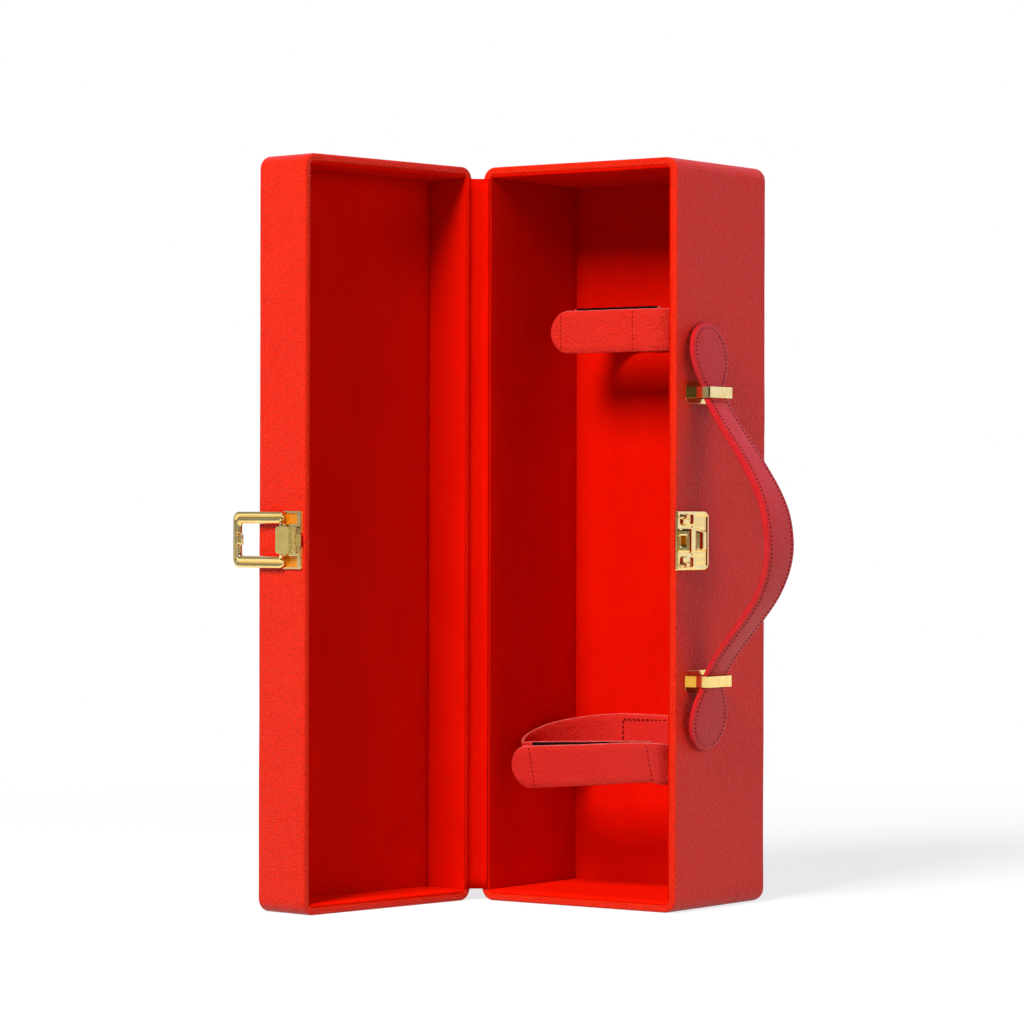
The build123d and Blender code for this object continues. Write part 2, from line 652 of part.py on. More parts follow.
def strap_loop_tape(strap):
    x0, x1 = strap["tape_x"]
    tops = strap["tops"]
    return straight_ribbon(x0, x1, strap["front_y"] - BAND / 2 - TAPE, tops["inner_left"] - 0.2,
                           tops["inner_right"] - 0.2, TAPE, STRAP_TALL - 1.0)


def strap_tab(strap):
    tops = strap["tops"]
    return tab_ribbon(strap["tab_hinge_x"], strap["tab_tip_x"], tab_y(strap), tops["tab_hinge"],
                      tops["tab_tip"], BAND)


def strap_hook_tape(strap):
    x0, x1 = strap["hook_x"]
    tops = strap["tops"]
    slope = (tops["tab_hinge"] - tops["tab_tip"]) / (strap["tab_hinge_x"] - strap["tab_tip_x"])
    top0 = tops["tab_tip"] + slope * (x0 - strap["tab_tip_x"]) - 1.0
    top1 = tops["tab_tip"] + slope * (x1 - strap["tab_tip_x"]) - 1.0
    return straight_ribbon(x0, x1, tab_y(strap) + BAND, top0, top1, TAPE, STRAP_TALL - 2.0)


# Every piece, by the name of its file

def make_parts():
    parts = {}
    for name, solid in half_case(BODY_DEPTH, "back", BACK_LINING).items():
        parts["body_" + name] = place_body(solid)
    for name, solid in half_case(LID_DEPTH, "front", LID_PAD).items():
        parts["lid_" + name] = close_lid(solid)

    for shank in catch_rivet_shanks() + loop_rivet_shanks():
        parts["body_leather_wrap"] -= shank
        parts["body_latch_board"] -= shank
    for shank in latch_rivet_shanks():
        parts["lid_leather_wrap"] -= shank
        parts["lid_latch_board"] -= shank

    parts["latch_base_plate"] = latch_base_plate()
    parts["latch_pin"] = latch_pin()
    parts["latch_lever"] = latch_lever()
    parts["latch_bail"] = latch_bail()
    parts["latch_rivets"] = latch_rivets()
    for name in list(parts):
        if name.startswith("lid_") or name.startswith("latch_"):
            parts[name] = open_lid(parts[name])

    parts["hinge_velvet_strip"] = hinge_velvet_strip()
    parts["hinge_spine_leather"] = hinge_spine_leather()
    parts["catch_plate"] = catch_plate()
    parts["catch_rivets"] = catch_rivets()

    parts["handle_upper_loop"] = handle_loop(1)
    parts["handle_lower_loop"] = handle_loop(-1)
    parts["handle_loop_rivets"] = loop_rivets()
    parts["handle_lower_slope"] = strap_piece(-DROP_START, GRIP_SPAN[0])
    parts["handle_grip"] = strap_piece(*GRIP_SPAN)
    parts["handle_upper_slope"] = strap_piece(GRIP_SPAN[1], DROP_START)
    parts["handle_upper_end"] = drop_end(1)
    parts["handle_lower_end"] = drop_end(-1)

    for name, strap in (("body", BODY_STRAP), ("neck", NECK_STRAP)):
        parts[name + "_strap_band"] = strap_band(strap)
        parts[name + "_strap_loop_tape"] = strap_loop_tape(strap)
        parts[name + "_strap_tab"] = strap_tab(strap)
        parts[name + "_strap_hook_tape"] = strap_hook_tape(strap)
    return parts


os.makedirs("parts", exist_ok=True)
for part_name, part_solid in make_parts().items():
    export_step(part_solid, f"parts/{part_name}.step")
print("hinge axis", HINGE_X, HINGE_Y, "lid rim corner", lid_point(-HALF_W, LID_RIM_Y))
print("latch pin", lid_point(HALF_W + PIN_UP, lid_back(PIN_BACK)))
print("bail pivot", lid_point(HALF_W + BAIL_UP, lid_back(BAIL_BACK)))

handle_line = handle_spline()
drop_shares = [share_at(handle_line, dz) for dz in (-DROP_START, DROP_START)]
print("handle length between drops", handle_line.length * (drop_shares[1] - drop_shares[0]))
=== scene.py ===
import random
from math import cos, exp, pi, radians, sin, sqrt, tau
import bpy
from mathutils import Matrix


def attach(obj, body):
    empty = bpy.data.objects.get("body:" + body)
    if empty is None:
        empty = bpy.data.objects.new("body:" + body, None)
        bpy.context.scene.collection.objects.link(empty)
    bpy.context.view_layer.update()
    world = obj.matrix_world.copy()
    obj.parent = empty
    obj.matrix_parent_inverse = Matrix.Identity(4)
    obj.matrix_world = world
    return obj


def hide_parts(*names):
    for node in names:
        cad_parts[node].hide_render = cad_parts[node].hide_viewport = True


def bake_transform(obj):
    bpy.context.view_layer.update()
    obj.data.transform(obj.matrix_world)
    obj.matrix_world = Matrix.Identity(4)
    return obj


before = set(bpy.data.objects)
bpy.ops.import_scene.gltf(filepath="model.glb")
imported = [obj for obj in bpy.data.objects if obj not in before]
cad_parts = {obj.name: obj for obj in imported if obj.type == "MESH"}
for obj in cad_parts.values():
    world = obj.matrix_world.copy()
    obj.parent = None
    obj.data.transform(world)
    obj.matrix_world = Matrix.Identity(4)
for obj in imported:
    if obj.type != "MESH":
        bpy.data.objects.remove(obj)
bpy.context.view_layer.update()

from types import SimpleNamespace

import bmesh
import bpy
from mathutils import Matrix, Vector, noise

random.seed(11)
MM = 0.001
UP = Vector((0, 0, 1))

# Sizes in millimetres, the same as the model's
WIDTH = 114.0
HEIGHT = 360.0
BODY_DEPTH = 80.0
LID_DEPTH = 32.0
CORNER_R = 6.5
LEATHER = 0.8
WALL_BOARD = 3.0
PANEL_BOARD = 4.0
SIDE_LINING = 0.7
END_LINING = 1.6
LID_PAD = 2.6
RIM_SETBACK = 0.3
HALF_W = WIDTH / 2
BOARD_IN = LEATHER + WALL_BOARD
WALL = BOARD_IN + SIDE_LINING
BODY_RIM_Y = -40.0
LID_RIM_Y = -41.2
HINGE = Vector((-60.0, -40.6, 0.0))
LID_OPEN = radians(-97.2)
LATCH_Z = 177.2
HANDLE_Z = 179.0
HANDLE_Y = -17.8
STRAP_WIDE = 17.8
GRIP_WIDE = 23.2
STRAP_TALL = 20.4
BAND = 2.0
TAPE = 1.0
TAPE_GAP = 0.3
TAPE_STEPS = 60
PANEL_STEP = 9.0
STRIP_LOW = 5.5
SPINE = 0.8
POCKET_FLOOR = 0.6

LID_TURN = Matrix.Translation(HINGE * MM) @ Matrix.Rotation(LID_OPEN, 4, "Z") @ Matrix.Translation(-HINGE * MM)


# Materials

def add_node(tree, kind, inputs=None, **settings):
    """A new node's outputs. Each input is a value, or the output that feeds it."""
    node = tree.nodes.new("ShaderNode" + kind)
    for name, value in settings.items():
        setattr(node, name, value)
    for name, value in (inputs or {}).items():
        if isinstance(value, bpy.types.NodeSocket):
            tree.links.new(value, node.inputs[name])
        else:
            node.inputs[name].default_value = value
    return node.outputs


def math_node(tree, operation, a, b):
    return add_node(tree, "Math", {0: a, 1: b}, operation=operation)[0]


def smooth_range(tree, value, start, end, low, high):
    """low before start, high after end, and a smooth step between."""
    inputs = {"Value": value, "From Min": start, "From Max": end, "To Min": low, "To Max": high}
    return add_node(tree, "MapRange", inputs, interpolation_type="SMOOTHSTEP")["Result"]


class Nodes:
    """A material's node tree, with short ways to add and join nodes."""

    def __init__(self, name):
        self.material = bpy.data.materials.new(name)
        self.material.use_nodes = True
        self.tree = self.material.node_tree
        self.shader = self.tree.nodes["Principled BSDF"]
        self.coord = add_node(self.tree, "TexCoord")["Object"]

    def set(self, **values):
        for name, value in values.items():
            self.shader.inputs[name.replace("_", " ")].default_value = value

    def add(self, kind, inputs=None, **settings):
        return add_node(self.tree, kind, inputs, **settings)

    def link(self, output, name):
        self.tree.links.new(output, self.shader.inputs[name])

    def noise(self, size_mm, detail=3.0, rough=0.55, stretch=None):
        """Noise whose features are about this many millimetres across."""
        vector = self.add("Mapping", {"Vector": self.coord, "Scale": stretch})["Vector"] if stretch else self.coord
        inputs = {"Vector": vector, "Scale": 1000.0 / size_mm, "Detail": detail, "Roughness": rough}
        return self.add("TexNoise", inputs)["Fac"]

    def cells(self, size_mm, feature="DISTANCE_TO_EDGE"):
        """Pebble-like cells about this many millimetres across, with bent edges."""
        warp = self.add("TexNoise", {"Vector": self.coord, "Scale": 600.0 / size_mm, "Detail": 2.0})
        bent = self.add("MixRGB", {"Fac": 0.0009 * size_mm, "Color1": self.coord, "Color2": warp["Color"]},
                        blend_type="ADD")
        inputs = {"Vector": bent["Color"], "Scale": 1000.0 / size_mm}
        return self.add("TexVoronoi", inputs, feature=feature)["Distance"]

    def ramp(self, value, stops):
        out = self.add("ValToRGB", {"Fac": value})["Color"]
        elements = out.node.color_ramp.elements
        elements[0].position, elements[0].color = stops[0][0], self.rgba(stops[0][1])
        elements[1].position, elements[1].color = stops[-1][0], self.rgba(stops[-1][1])
        for position, colour in stops[1:-1]:
            elements.new(position).color = self.rgba(colour)
        return out

    @staticmethod
    def rgba(colour):
        return (colour, colour, colour, 1.0) if isinstance(colour, float) else (*colour, 1.0)

    def map(self, value, low, high):
        """A 0 to 1 value spread from low to high."""
        return self.add("MapRange", {"Value": value, "To Min": low, "To Max": high})["Result"]

    def bump(self, height, depth_mm, strength=1.0, under=None):
        inputs = {"Height": height, "Distance": depth_mm * MM, "Strength": strength}
        if under is not None:
            inputs["Normal"] = under
        return self.add("Bump", inputs)["Normal"]


def leather(name, colour, dark, grain=1.5, depth=0.33, rough=(0.38, 0.52), shine=0.25):
    """Pebbled leather: soft grains with fine wrinkles between, and slow changes of colour and gloss."""
    n = Nodes(name)
    pebble = n.ramp(n.cells(grain), [(0.0, 0.0), (0.22, 0.75), (0.5, 1.0)])
    wrinkle = n.noise(2.4, 2.0, 0.5, stretch=(0.7, 0.7, 1.3))
    fine = n.noise(0.5, 2.0)
    creases = n.noise(8.0, 4.0, 0.6, stretch=(1.0, 1.0, 0.55))
    patches = n.noise(26.0, 3.0)
    tone = math_node(n.tree, "ADD", n.map(patches, 0.40, 0.75), n.map(pebble, -0.16, 0.05))
    n.link(n.ramp(tone, [(0.25, dark), (0.60, colour)]), "Base Color")
    n.link(n.map(fine, *rough), "Roughness")
    broad = n.bump(creases, depth * 1.6, 0.5)
    folds = n.bump(wrinkle, depth * 1.6, 0.8, broad)
    cells = n.bump(pebble, depth, 0.9, folds)
    n.link(n.bump(fine, depth * 0.25, 0.5, cells), "Normal")
    n.set(Specular_IOR_Level=shine)
    return n.material


def velvet(name, colour, dark, sheen=0.22):
    """Short-pile fabric: fine pile, brushed patches and a soft rim of light."""
    n = Nodes(name)
    pile = n.noise(0.35, 2.0)
    brushed = n.noise(22.0, 4.0, 0.6, stretch=(1.0, 1.0, 0.4))
    mottled = n.noise(3.0, 4.0, 0.6)
    mix = math_node(n.tree, "ADD", n.map(brushed, 0.15, 0.75), n.map(mottled, -0.12, 0.16))
    n.link(n.ramp(mix, [(0.30, dark), (0.60, colour)]), "Base Color")
    n.link(n.bump(pile, 0.22, 0.7, n.bump(mottled, 0.12, 0.4)), "Normal")
    n.set(Roughness=1.0, Sheen_Weight=sheen, Sheen_Roughness=0.3, Sheen_Tint=(1.0, 0.030, 0.004, 1.0),
          Specular_IOR_Level=0.0)
    return n.material


def gold(name, colour, dark, rough, brushed=False, pocket_reflection=None):
    """Gold-plated metal with faint marks. The pocket colour, if given, is painted with less metal on the latch
    plate's sunk floors: a painted reflection of the red leather round them.
    """
    n = Nodes(name)
    fine = n.noise(0.5, 2.0, 0.5, stretch=(1.0, 1.0, 0.12) if brushed else None)
    surface = n.ramp(n.noise(5.0, 5.0, 0.6), [(0.35, dark), (0.6, colour)])
    n.link(n.map(fine, *rough), "Roughness")
    edges = n.add("Bevel", {"Radius": 0.12 * MM}, samples=8)["Normal"]
    n.link(n.bump(fine, 0.02 if brushed else 0.006, 0.5, edges), "Normal")
    n.set(Metallic=1.0)
    # The sunk floors get an orange colour and less metal: a painted reflection of the red leather they mirror
    if pocket_reflection:
        back = LID_TURN.inverted()
        low = (HALF_W + POCKET_FLOOR) * MM - back[0][3]
        out = n.add("VectorMath", {0: n.coord, 1: tuple(back[0][:3])}, operation="DOT_PRODUCT")
        sunk = n.add("MapRange", {"Value": out["Value"], "From Min": low, "From Max": low + 0.35 * MM,
                                  "To Min": 1.0, "To Max": 0.0})["Result"]
        surface = n.add("MixRGB", {"Fac": sunk, "Color1": surface, "Color2": n.rgba(pocket_reflection)})["Color"]
        n.link(n.map(sunk, 1.0, 0.35), "Metallic")
    n.link(surface, "Base Color")
    return n.material


def edge_paint(name, colour, dark):
    """Painted leather edge: smooth, glossy and a little uneven."""
    n = Nodes(name)
    wave = n.noise(4.0, 4.0)
    n.link(n.ramp(wave, [(0.35, dark), (0.65, colour)]), "Base Color")
    n.link(n.bump(wave, 0.25, 0.5, n.bump(n.noise(0.6, 2.0), 0.05, 0.5)), "Normal")
    n.link(n.map(n.noise(1.2), 0.40, 0.55), "Roughness")
    n.set(Specular_IOR_Level=0.35)
    return n.material


def grainy(name, noise, dark, colour, bump, **values):
    """A dull surface with one fine grain, such as sewing thread or pressed board."""
    n = Nodes(name)
    grain = n.noise(*noise)
    n.link(n.ramp(grain, [(0.3, dark), (0.7, colour)]), "Base Color")
    n.link(n.bump(grain, *bump), "Normal")
    n.set(Roughness=0.9, **values)
    return n.material


def thread(name, colour, dark):
    """Twisted sewing thread."""
    return grainy(name, (0.3, 1.0), dark, colour, (0.08, 0.8), Specular_IOR_Level=0.1)


def hook_and_loop(name):
    """Black hook-and-loop tape: a dense field of small loops."""
    n = Nodes(name)
    loops = n.cells(0.7, "F1")
    n.link(n.ramp(loops, [(0.2, (0.012, 0.007, 0.007)), (0.8, (0.002, 0.0015, 0.0015))]), "Base Color")
    n.link(n.bump(loops, 0.5, 1.0, n.bump(n.noise(0.3), 0.15, 0.8)), "Normal")
    n.set(Roughness=0.95, Specular_IOR_Level=0.1)
    return n.material


CASE_LEATHER = leather("case_leather", (0.75, 0.0185, 0.0020), (0.66, 0.0130, 0.0018), depth=0.36)
STRAP_LEATHER = leather("strap_leather", (0.61, 0.022, 0.016), (0.52, 0.015, 0.010), depth=0.22)
NECK_LEATHER = leather("neck_leather", (0.65, 0.024, 0.014), (0.56, 0.016, 0.009), depth=0.32)
HANDLE_LEATHER = leather("handle_leather", (0.60, 0.009, 0.006), (0.52, 0.006, 0.004), grain=1.1, depth=0.20,
                         rough=(0.34, 0.48), shine=0.32)
STRAP_EDGE = edge_paint("strap_edge", (0.64, 0.10, 0.09), (0.52, 0.06, 0.05))
HANDLE_EDGE = edge_paint("handle_edge", (0.52, 0.012, 0.014), (0.45, 0.008, 0.010))
VELVET = velvet("velvet", (0.65, 0.0048, 0.0006), (0.58, 0.0030, 0.0004))
# A lighter, sheenier copy of the velvet for the bottom panels: painted light, standing in for the light that falls
# on the upward-facing floor inside
VELVET_PAINTED_LIGHT = velvet("velvet_painted_light", (0.90, 0.0090, 0.0008), (0.82, 0.0060, 0.0006), sheen=0.3)
POLISH = ((1.0, 0.76, 0.30), (0.97, 0.67, 0.21), (0.07, 0.15))
POLISHED_GOLD = gold("polished_gold", *POLISH)
# Gold with a painted reflection: orange on the latch plate's sunk floors in place of the red leather they mirror
POCKET_REFLECTION_GOLD = gold("latch_plate_gold", *POLISH, pocket_reflection=(0.86, 0.26, 0.006))
SATIN_GOLD = gold("satin_gold", (0.92, 0.70, 0.22), (0.84, 0.61, 0.17), (0.20, 0.32), brushed=True)
THREAD = thread("thread", (0.17, 0.002, 0.004), (0.07, 0.001, 0.002))
STRAP_THREAD = thread("strap_thread", (0.27, 0.006, 0.006), (0.12, 0.002, 0.002))
FAINT_THREAD = thread("faint_thread", (0.40, 0.012, 0.008), (0.24, 0.005, 0.004))
TAPE_BLACK = hook_and_loop("hook_and_loop")
# Pressed greyboard, which shows only where a leather edge leaves a gap
BOARD = grainy("case_board", (1.2, 5.0, 0.65), (0.30, 0.26, 0.20), (0.46, 0.40, 0.31), (0.1, 0.6))


# Mesh tools

def add_object(name, data):
    obj = bpy.data.objects.new(name, data)
    bpy.context.collection.objects.link(obj)
    return obj


def make_piece(name, verts, faces, materials, turn=None, ids=None):
    """A smooth-shaded mesh object from points in millimetres, with its normals facing out."""
    mesh = bpy.data.meshes.new(name)
    mesh.from_pydata([Vector(v) * MM for v in verts], [], faces)
    for material in materials if isinstance(materials, list) else [materials]:
        mesh.materials.append(material)
    if ids:
        mesh.polygons.foreach_set("material_index", ids)
    if turn is not None:
        mesh.transform(turn)
    mesh.polygons.foreach_set("use_smooth", [True] * len(mesh.polygons))
    work = bmesh.new()
    work.from_mesh(mesh)
    bmesh.ops.recalc_face_normals(work, faces=work.faces)
    work.to_mesh(mesh)
    work.free()
    mesh.update()
    return add_object(name, mesh)


def join_rings(rings, closed=True, first=0):
    """Quads between rings of equal length, whose points are numbered one ring after the other."""
    count = len(rings[0])
    return [(a + i, a + (i + 1) % count, a + count + (i + 1) % count, a + count + i)
            for a in range(first, first + count * (len(rings) - 1), count)
            for i in range(count if closed else count - 1)]


def add_loft(verts, faces, rings, caps=(True, True)):
    """Adds a skin over closed rings of equal length, with its first and last ring capped or left open."""
    first, count = len(verts), len(rings[0])
    verts += [p for ring in rings for p in ring]
    faces += join_rings(rings, first=first)
    if caps[0]:
        faces.append(tuple(range(first, first + count)))
    if caps[1]:
        faces.append(tuple(range(len(verts) - count, len(verts))))


def loft_piece(name, rings, materials, caps=(True, True), turn=None, ids=None):
    verts, faces = [], []
    add_loft(verts, faces, rings, caps)
    return make_piece(name, verts, faces, materials, turn, ids)


def relief(rows, foot):
    """A face over a grid of points, with walls from its rim down to each rim point's foot and a flat back."""
    verts = [p for row in rows for p in row]
    faces = join_rings(rows, closed=False)
    wide, last = len(rows[0]), len(rows) - 1
    rim = list(range(wide)) + [k * wide + wide - 1 for k in range(1, last + 1)]
    rim += [last * wide + k for k in range(wide - 2, -1, -1)] + [k * wide for k in range(last - 1, 0, -1)]
    first, count = len(verts), len(rim)
    verts += [foot(verts[k]) for k in rim]
    for i in range(count):
        j = (i + 1) % count
        faces.append((rim[i], rim[j], first + j, first + i))
    faces.append(tuple(range(first, first + count)))
    return verts, faces


def place(piece, body, slot, *nodes):
    """Says which body carries the piece and which nodes it stands for. slot is not used."""
    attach(piece, body)
    if nodes:
        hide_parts(*nodes)


def clamp(t):
    return min(max(t, 0.0), 1.0)


def between(p, q, a, b, t):
    """The place at t on a straight run that passes p at a and q at b."""
    return p * ((b - t) / (b - a)) + q * ((t - a) / (b - a))


def catmull(points, per_span):
    """A smooth line through the points, with so many samples to each span."""
    pts = [Vector(p) for p in points]
    pts = [2 * pts[0] - pts[1]] + pts + [2 * pts[-1] - pts[-2]]
    line = []
    for k in range(1, len(pts) - 2):
        near, knots = pts[k - 1:k + 3], [0.0]
        for a, b in zip(near, near[1:]):
            knots.append(knots[-1] + max((b - a).length, 1e-6) ** 0.5)
        t0, t1, t2, t3 = knots
        for i in range(per_span):
            t = t1 + (t2 - t1) * i / per_span
            a1, a2, a3 = (between(near[j], near[j + 1], knots[j], knots[j + 1], t) for j in range(3))
            line.append(between(between(a1, a2, t0, t2, t), between(a2, a3, t1, t3, t), t1, t2, t))
    return line + [pts[-2].copy()]


def distances(line):
    """Each point's distance along the line."""
    out = [0.0]
    for a, b in zip(line, line[1:]):
        out.append(out[-1] + (b - a).length)
    return out


def walk(lengths, places):
    """For places along a line, in order: the span that each falls in and the part of it that is passed."""
    k = 0
    for at in places:
        while k < len(lengths) - 2 and lengths[k + 1] < at:
            k += 1
        yield k, (at - lengths[k]) / max(lengths[k + 1] - lengths[k], 1e-9)


def resample(line, step):
    """The same line with points about one step apart, ends kept."""
    lengths = distances(line)
    count = max(2, round(lengths[-1] / step))
    places = [lengths[-1] * i / count for i in range(count + 1)]
    return [line[k].lerp(line[k + 1], t) for k, t in walk(lengths, places)]


def tangents(line):
    last = len(line) - 1
    return [(line[min(k + 1, last)] - line[max(k - 1, 0)]).normalized() for k in range(last + 1)]


def unevenness(x, y, z, size, amount):
    """Smooth random offset in millimetres, the same at every run."""
    return amount * noise.noise(Vector((x, y, z)) / size)


# Leather wraps of the body and the lid

CORNER_STEPS = 7
ACROSS_STEPS = 12
UP_STEPS = 36


def outline(inset):
    """The case's rounded outline, set in from the outside, as points (x, z)."""
    radius = max(CORNER_R - inset, 0.5)
    half_w, half_h = HALF_W - inset - radius, HEIGHT / 2 - inset - radius
    centres = [(half_w, half_h), (-half_w, half_h), (-half_w, -half_h), (half_w, -half_h)]

    def on_corner(k, degrees):
        a = radians(90 * (k % 4) + degrees)
        return centres[k % 4][0] + radius * cos(a), centres[k % 4][1] + radius * sin(a)

    points = []
    for k in range(4):
        points += [on_corner(k, 90 * i / CORNER_STEPS) for i in range(CORNER_STEPS + 1)]
        (x0, z0), (x1, z1) = points[-1], on_corner(k + 1, 0)
        steps = UP_STEPS if k % 2 else ACROSS_STEPS
        points += [(x0 + (x1 - x0) * t, z0 + (z1 - z0) * t) for t in (i / steps for i in range(1, steps))]
    return [(x, z + HEIGHT / 2) for x, z in points]


def arc(cx, cy, radius, start, end, steps):
    turns = [radians(start + (end - start) * i / steps) for i in range(steps + 1)]
    return [(cx + radius * cos(a), cy + radius * sin(a)) for a in turns]


def wrap_profile(depth):
    """(inset, depth behind the rim) from inside the mouth, over the rim and down the side to the panel."""
    mouth = BOARD_IN + 0.05
    profile = [(mouth, 4.0), (mouth - 0.02, 1.8)]
    profile += arc(mouth - 1.0, 0.95, 0.95, 0, -90, 4)
    profile += arc(1.0, 1.0, 1.0, -90, -180, 5)
    steps = max(4, int(depth / 7))
    low, high = 1.0, depth - 2.0
    profile += [(0.0, low + (high - low) * k / steps) for k in range(1, steps)]
    profile += [(2.0 - 2.0 * cos(radians(a)), depth - 2.0 + 2.0 * sin(radians(a)))
                for a in range(0, 91, 15)]
    return profile + [(inset, depth) for inset in (5.0, 10.0, 18.0, 28.0, 40.0, 52.0)]


def leather_wrap(name, depth, lid, *replaced):
    """The leather over the outside of one half, turned in over its rim."""
    rings = []
    for inset, back in wrap_profile(depth):
        ring = []
        for x, z in outline(inset):
            uneven = unevenness(x, back + (300 if lid else 0), z, 34.0, 0.22) if back > 1.5 and inset < 3 else 0
            side = x + (uneven if abs(x) > HALF_W - 3 else 0) * (1 if x > 0 else -1)
            sag = unevenness(x, back + 50, z, 40.0, 0.25) if inset > 4 and back > 20 else 0.0
            ring.append((side, LID_RIM_Y - back + sag if lid else BODY_RIM_Y + back - sag, z))
        rings.append(ring)
    obj = loft_piece(name, rings, CASE_LEATHER, (False, True), LID_TURN if lid else None)
    place(obj, "lid" if lid else "case_body", "case_leather", *replaced)


leather_wrap("body_leather_cover", BODY_DEPTH, False, "body_leather_wrap", "body_base_leather")
leather_wrap("lid_leather_cover", LID_DEPTH, True, "lid_leather_wrap", "lid_base_leather")


# Velvet lining panels

def grid_stops(length, edge):
    """Positions across a panel: close together at the rounded edges, wider inside."""
    near = [0.0, edge * 0.08, edge * 0.28, edge * 0.6, edge]
    count = max(2, round((length - 2 * edge) / PANEL_STEP))
    inner = [edge + (length - 2 * edge) * k / count for k in range(1, count)]
    return near + inner + [length - d for d in reversed(near)]


def roundness(distance, edge):
    return 1.0 if distance >= edge else sqrt(max(0.0, 1 - (1 - distance / edge) ** 2))


def soft_panel(name, corner, u_axis, v_axis, face, size, thick, edge, crown, lid, material=VELVET):
    """A card panel covered in velvet: rounded edges and a slightly crowned, uneven face."""
    corner, u_axis, v_axis, face = Vector(corner), Vector(u_axis), Vector(v_axis), Vector(face)
    wide, high = size
    rows = []
    for v in grid_stops(high, edge):
        row = []
        for u in grid_stops(wide, edge):
            fall = min(roundness(min(u, wide - u), edge), roundness(min(v, high - v), edge))
            dome = sin(pi * u / wide) ** 0.35 * sin(pi * v / high) ** 0.25 if fall else 0
            p = corner + u_axis * u + v_axis * v
            height = thick - edge + edge * fall + crown * dome
            height += unevenness(p.x + 500, p.y, p.z, 24.0, 0.18) * fall
            row.append(p + face * height)
        rows.append(row)
    verts, faces = relief(rows, lambda p: p - face * (p - corner).dot(face))
    obj = make_piece(name + "_velvet", verts, faces, material, LID_TURN if lid else None)
    place(obj, "lid" if lid else "case_body", "velvet", name + "_lining")
    return obj


def lining(prefix, depth, panel_lining, lid):
    """The four side panels and the back or front panel of one half."""
    rim, way = (LID_RIM_Y, Vector((0, -1, 0))) if lid else (BODY_RIM_Y, Vector((0, 1, 0)))
    across, inside = HALF_W - BOARD_IN, HALF_W - WALL
    low, high = BOARD_IN, HEIGHT - BOARD_IN
    panel_at = depth - LEATHER - PANEL_BOARD
    deep = panel_at - panel_lining - RIM_SETBACK + 0.75 * panel_lining
    start = rim + RIM_SETBACK * way.y
    right, up = (1, 0, 0), (0, 0, 1)
    for side, name in ((-1, "_hinge"), (1, "_latch")):
        soft_panel(prefix + name, (side * across, start, low), way, up, (-side, 0, 0), (deep, high - low),
                   SIDE_LINING, 0.6, 0.0, lid)
    # The bottom panels take the lighter velvet copy: painted light on the upward-facing floor
    for side, name, z, material in ((-1, "_bottom", low, VELVET_PAINTED_LIGHT), (1, "_top", high, VELVET)):
        soft_panel(prefix + name, (-inside, start, z), way, right, (0, 0, -side), (deep, 2 * inside),
                   END_LINING, 1.2, 0.15, lid, material)
    edge, crown = (2.4, 0.5) if lid else (0.6, 0.0)
    panel = soft_panel(prefix + ("_front" if lid else "_back"), (-across, rim + panel_at * way.y, low), right, up,
                       -way, (2 * across, high - low), panel_lining, edge, crown, lid)


lining("body", BODY_DEPTH, SIDE_LINING, False)
lining("lid", LID_DEPTH, LID_PAD, True)


# Strips over the hinge

def lid_rest(x, y):
    """Where a point of the closed lid is at rest."""
    p = LID_TURN @ (Vector((x, y, 0)) * MM)
    return Vector((p.x / MM, p.y / MM, 0))


def standing_strip(name, line, thick, material, replaced):
    """A thin strip that follows a line in plan, a little wavy, over the height of the inside."""
    path = resample(catmull(line, 6), 0.8)
    sides = tangents(path)
    levels = 60
    rings = []
    for k in range(levels + 1):
        z = STRIP_LOW + (HEIGHT - 2 * STRIP_LOW) * k / levels
        outer, inner = [], []
        for p, t in zip(path, sides):
            normal = Vector((-t.y, t.x, 0))
            ripple = unevenness(p.x * 3, p.y * 3, z, 12.0, 0.14)
            for offset, row in ((thick / 2 + ripple, outer), (-thick / 2 + ripple, inner)):
                q = p + normal * offset
                row.append((q.x, q.y, z))
        rings.append(outer + inner[::-1])
    obj = loft_piece(name, rings, material)
    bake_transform(obj)
    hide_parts(replaced)
    return obj


body_in, body_out = (Vector((-HALF_W + x, BODY_RIM_Y - 0.28, 0)) for x in (BOARD_IN, 0.8))
lid_out, lid_in = (lid_rest(-HALF_W + x, LID_RIM_Y + 0.28) for x in (0.8, BOARD_IN))
middle = (body_out + lid_out) / 2 + Vector((-0.25, 0.25, 0))
velvet_line = [body_in, (body_in + body_out) / 2, body_out, middle, lid_out, (lid_in + lid_out) / 2, lid_in]
velvet_strip = standing_strip("hinge_velvet", velvet_line, 0.5, VELVET, "hinge_velvet_strip")
spine_x = -HALF_W - SPINE / 2
spine_line = [Vector((spine_x, BODY_RIM_Y + d, 0)) for d in (7, 3, 0.6)] + [Vector((-58.6, -41.4, 0))]
spine_line += [lid_rest(spine_x, LID_RIM_Y - d) for d in (0.6, 3, 7)]
standing_strip("hinge_spine", spine_line, SPINE, CASE_LEATHER, "hinge_spine_leather")


# Stitching

BEAD = ((-0.5, 0.0), (-0.44, 0.55), (-0.2, 1.0), (0.2, 1.0), (0.44, 0.55), (0.5, 0.0))


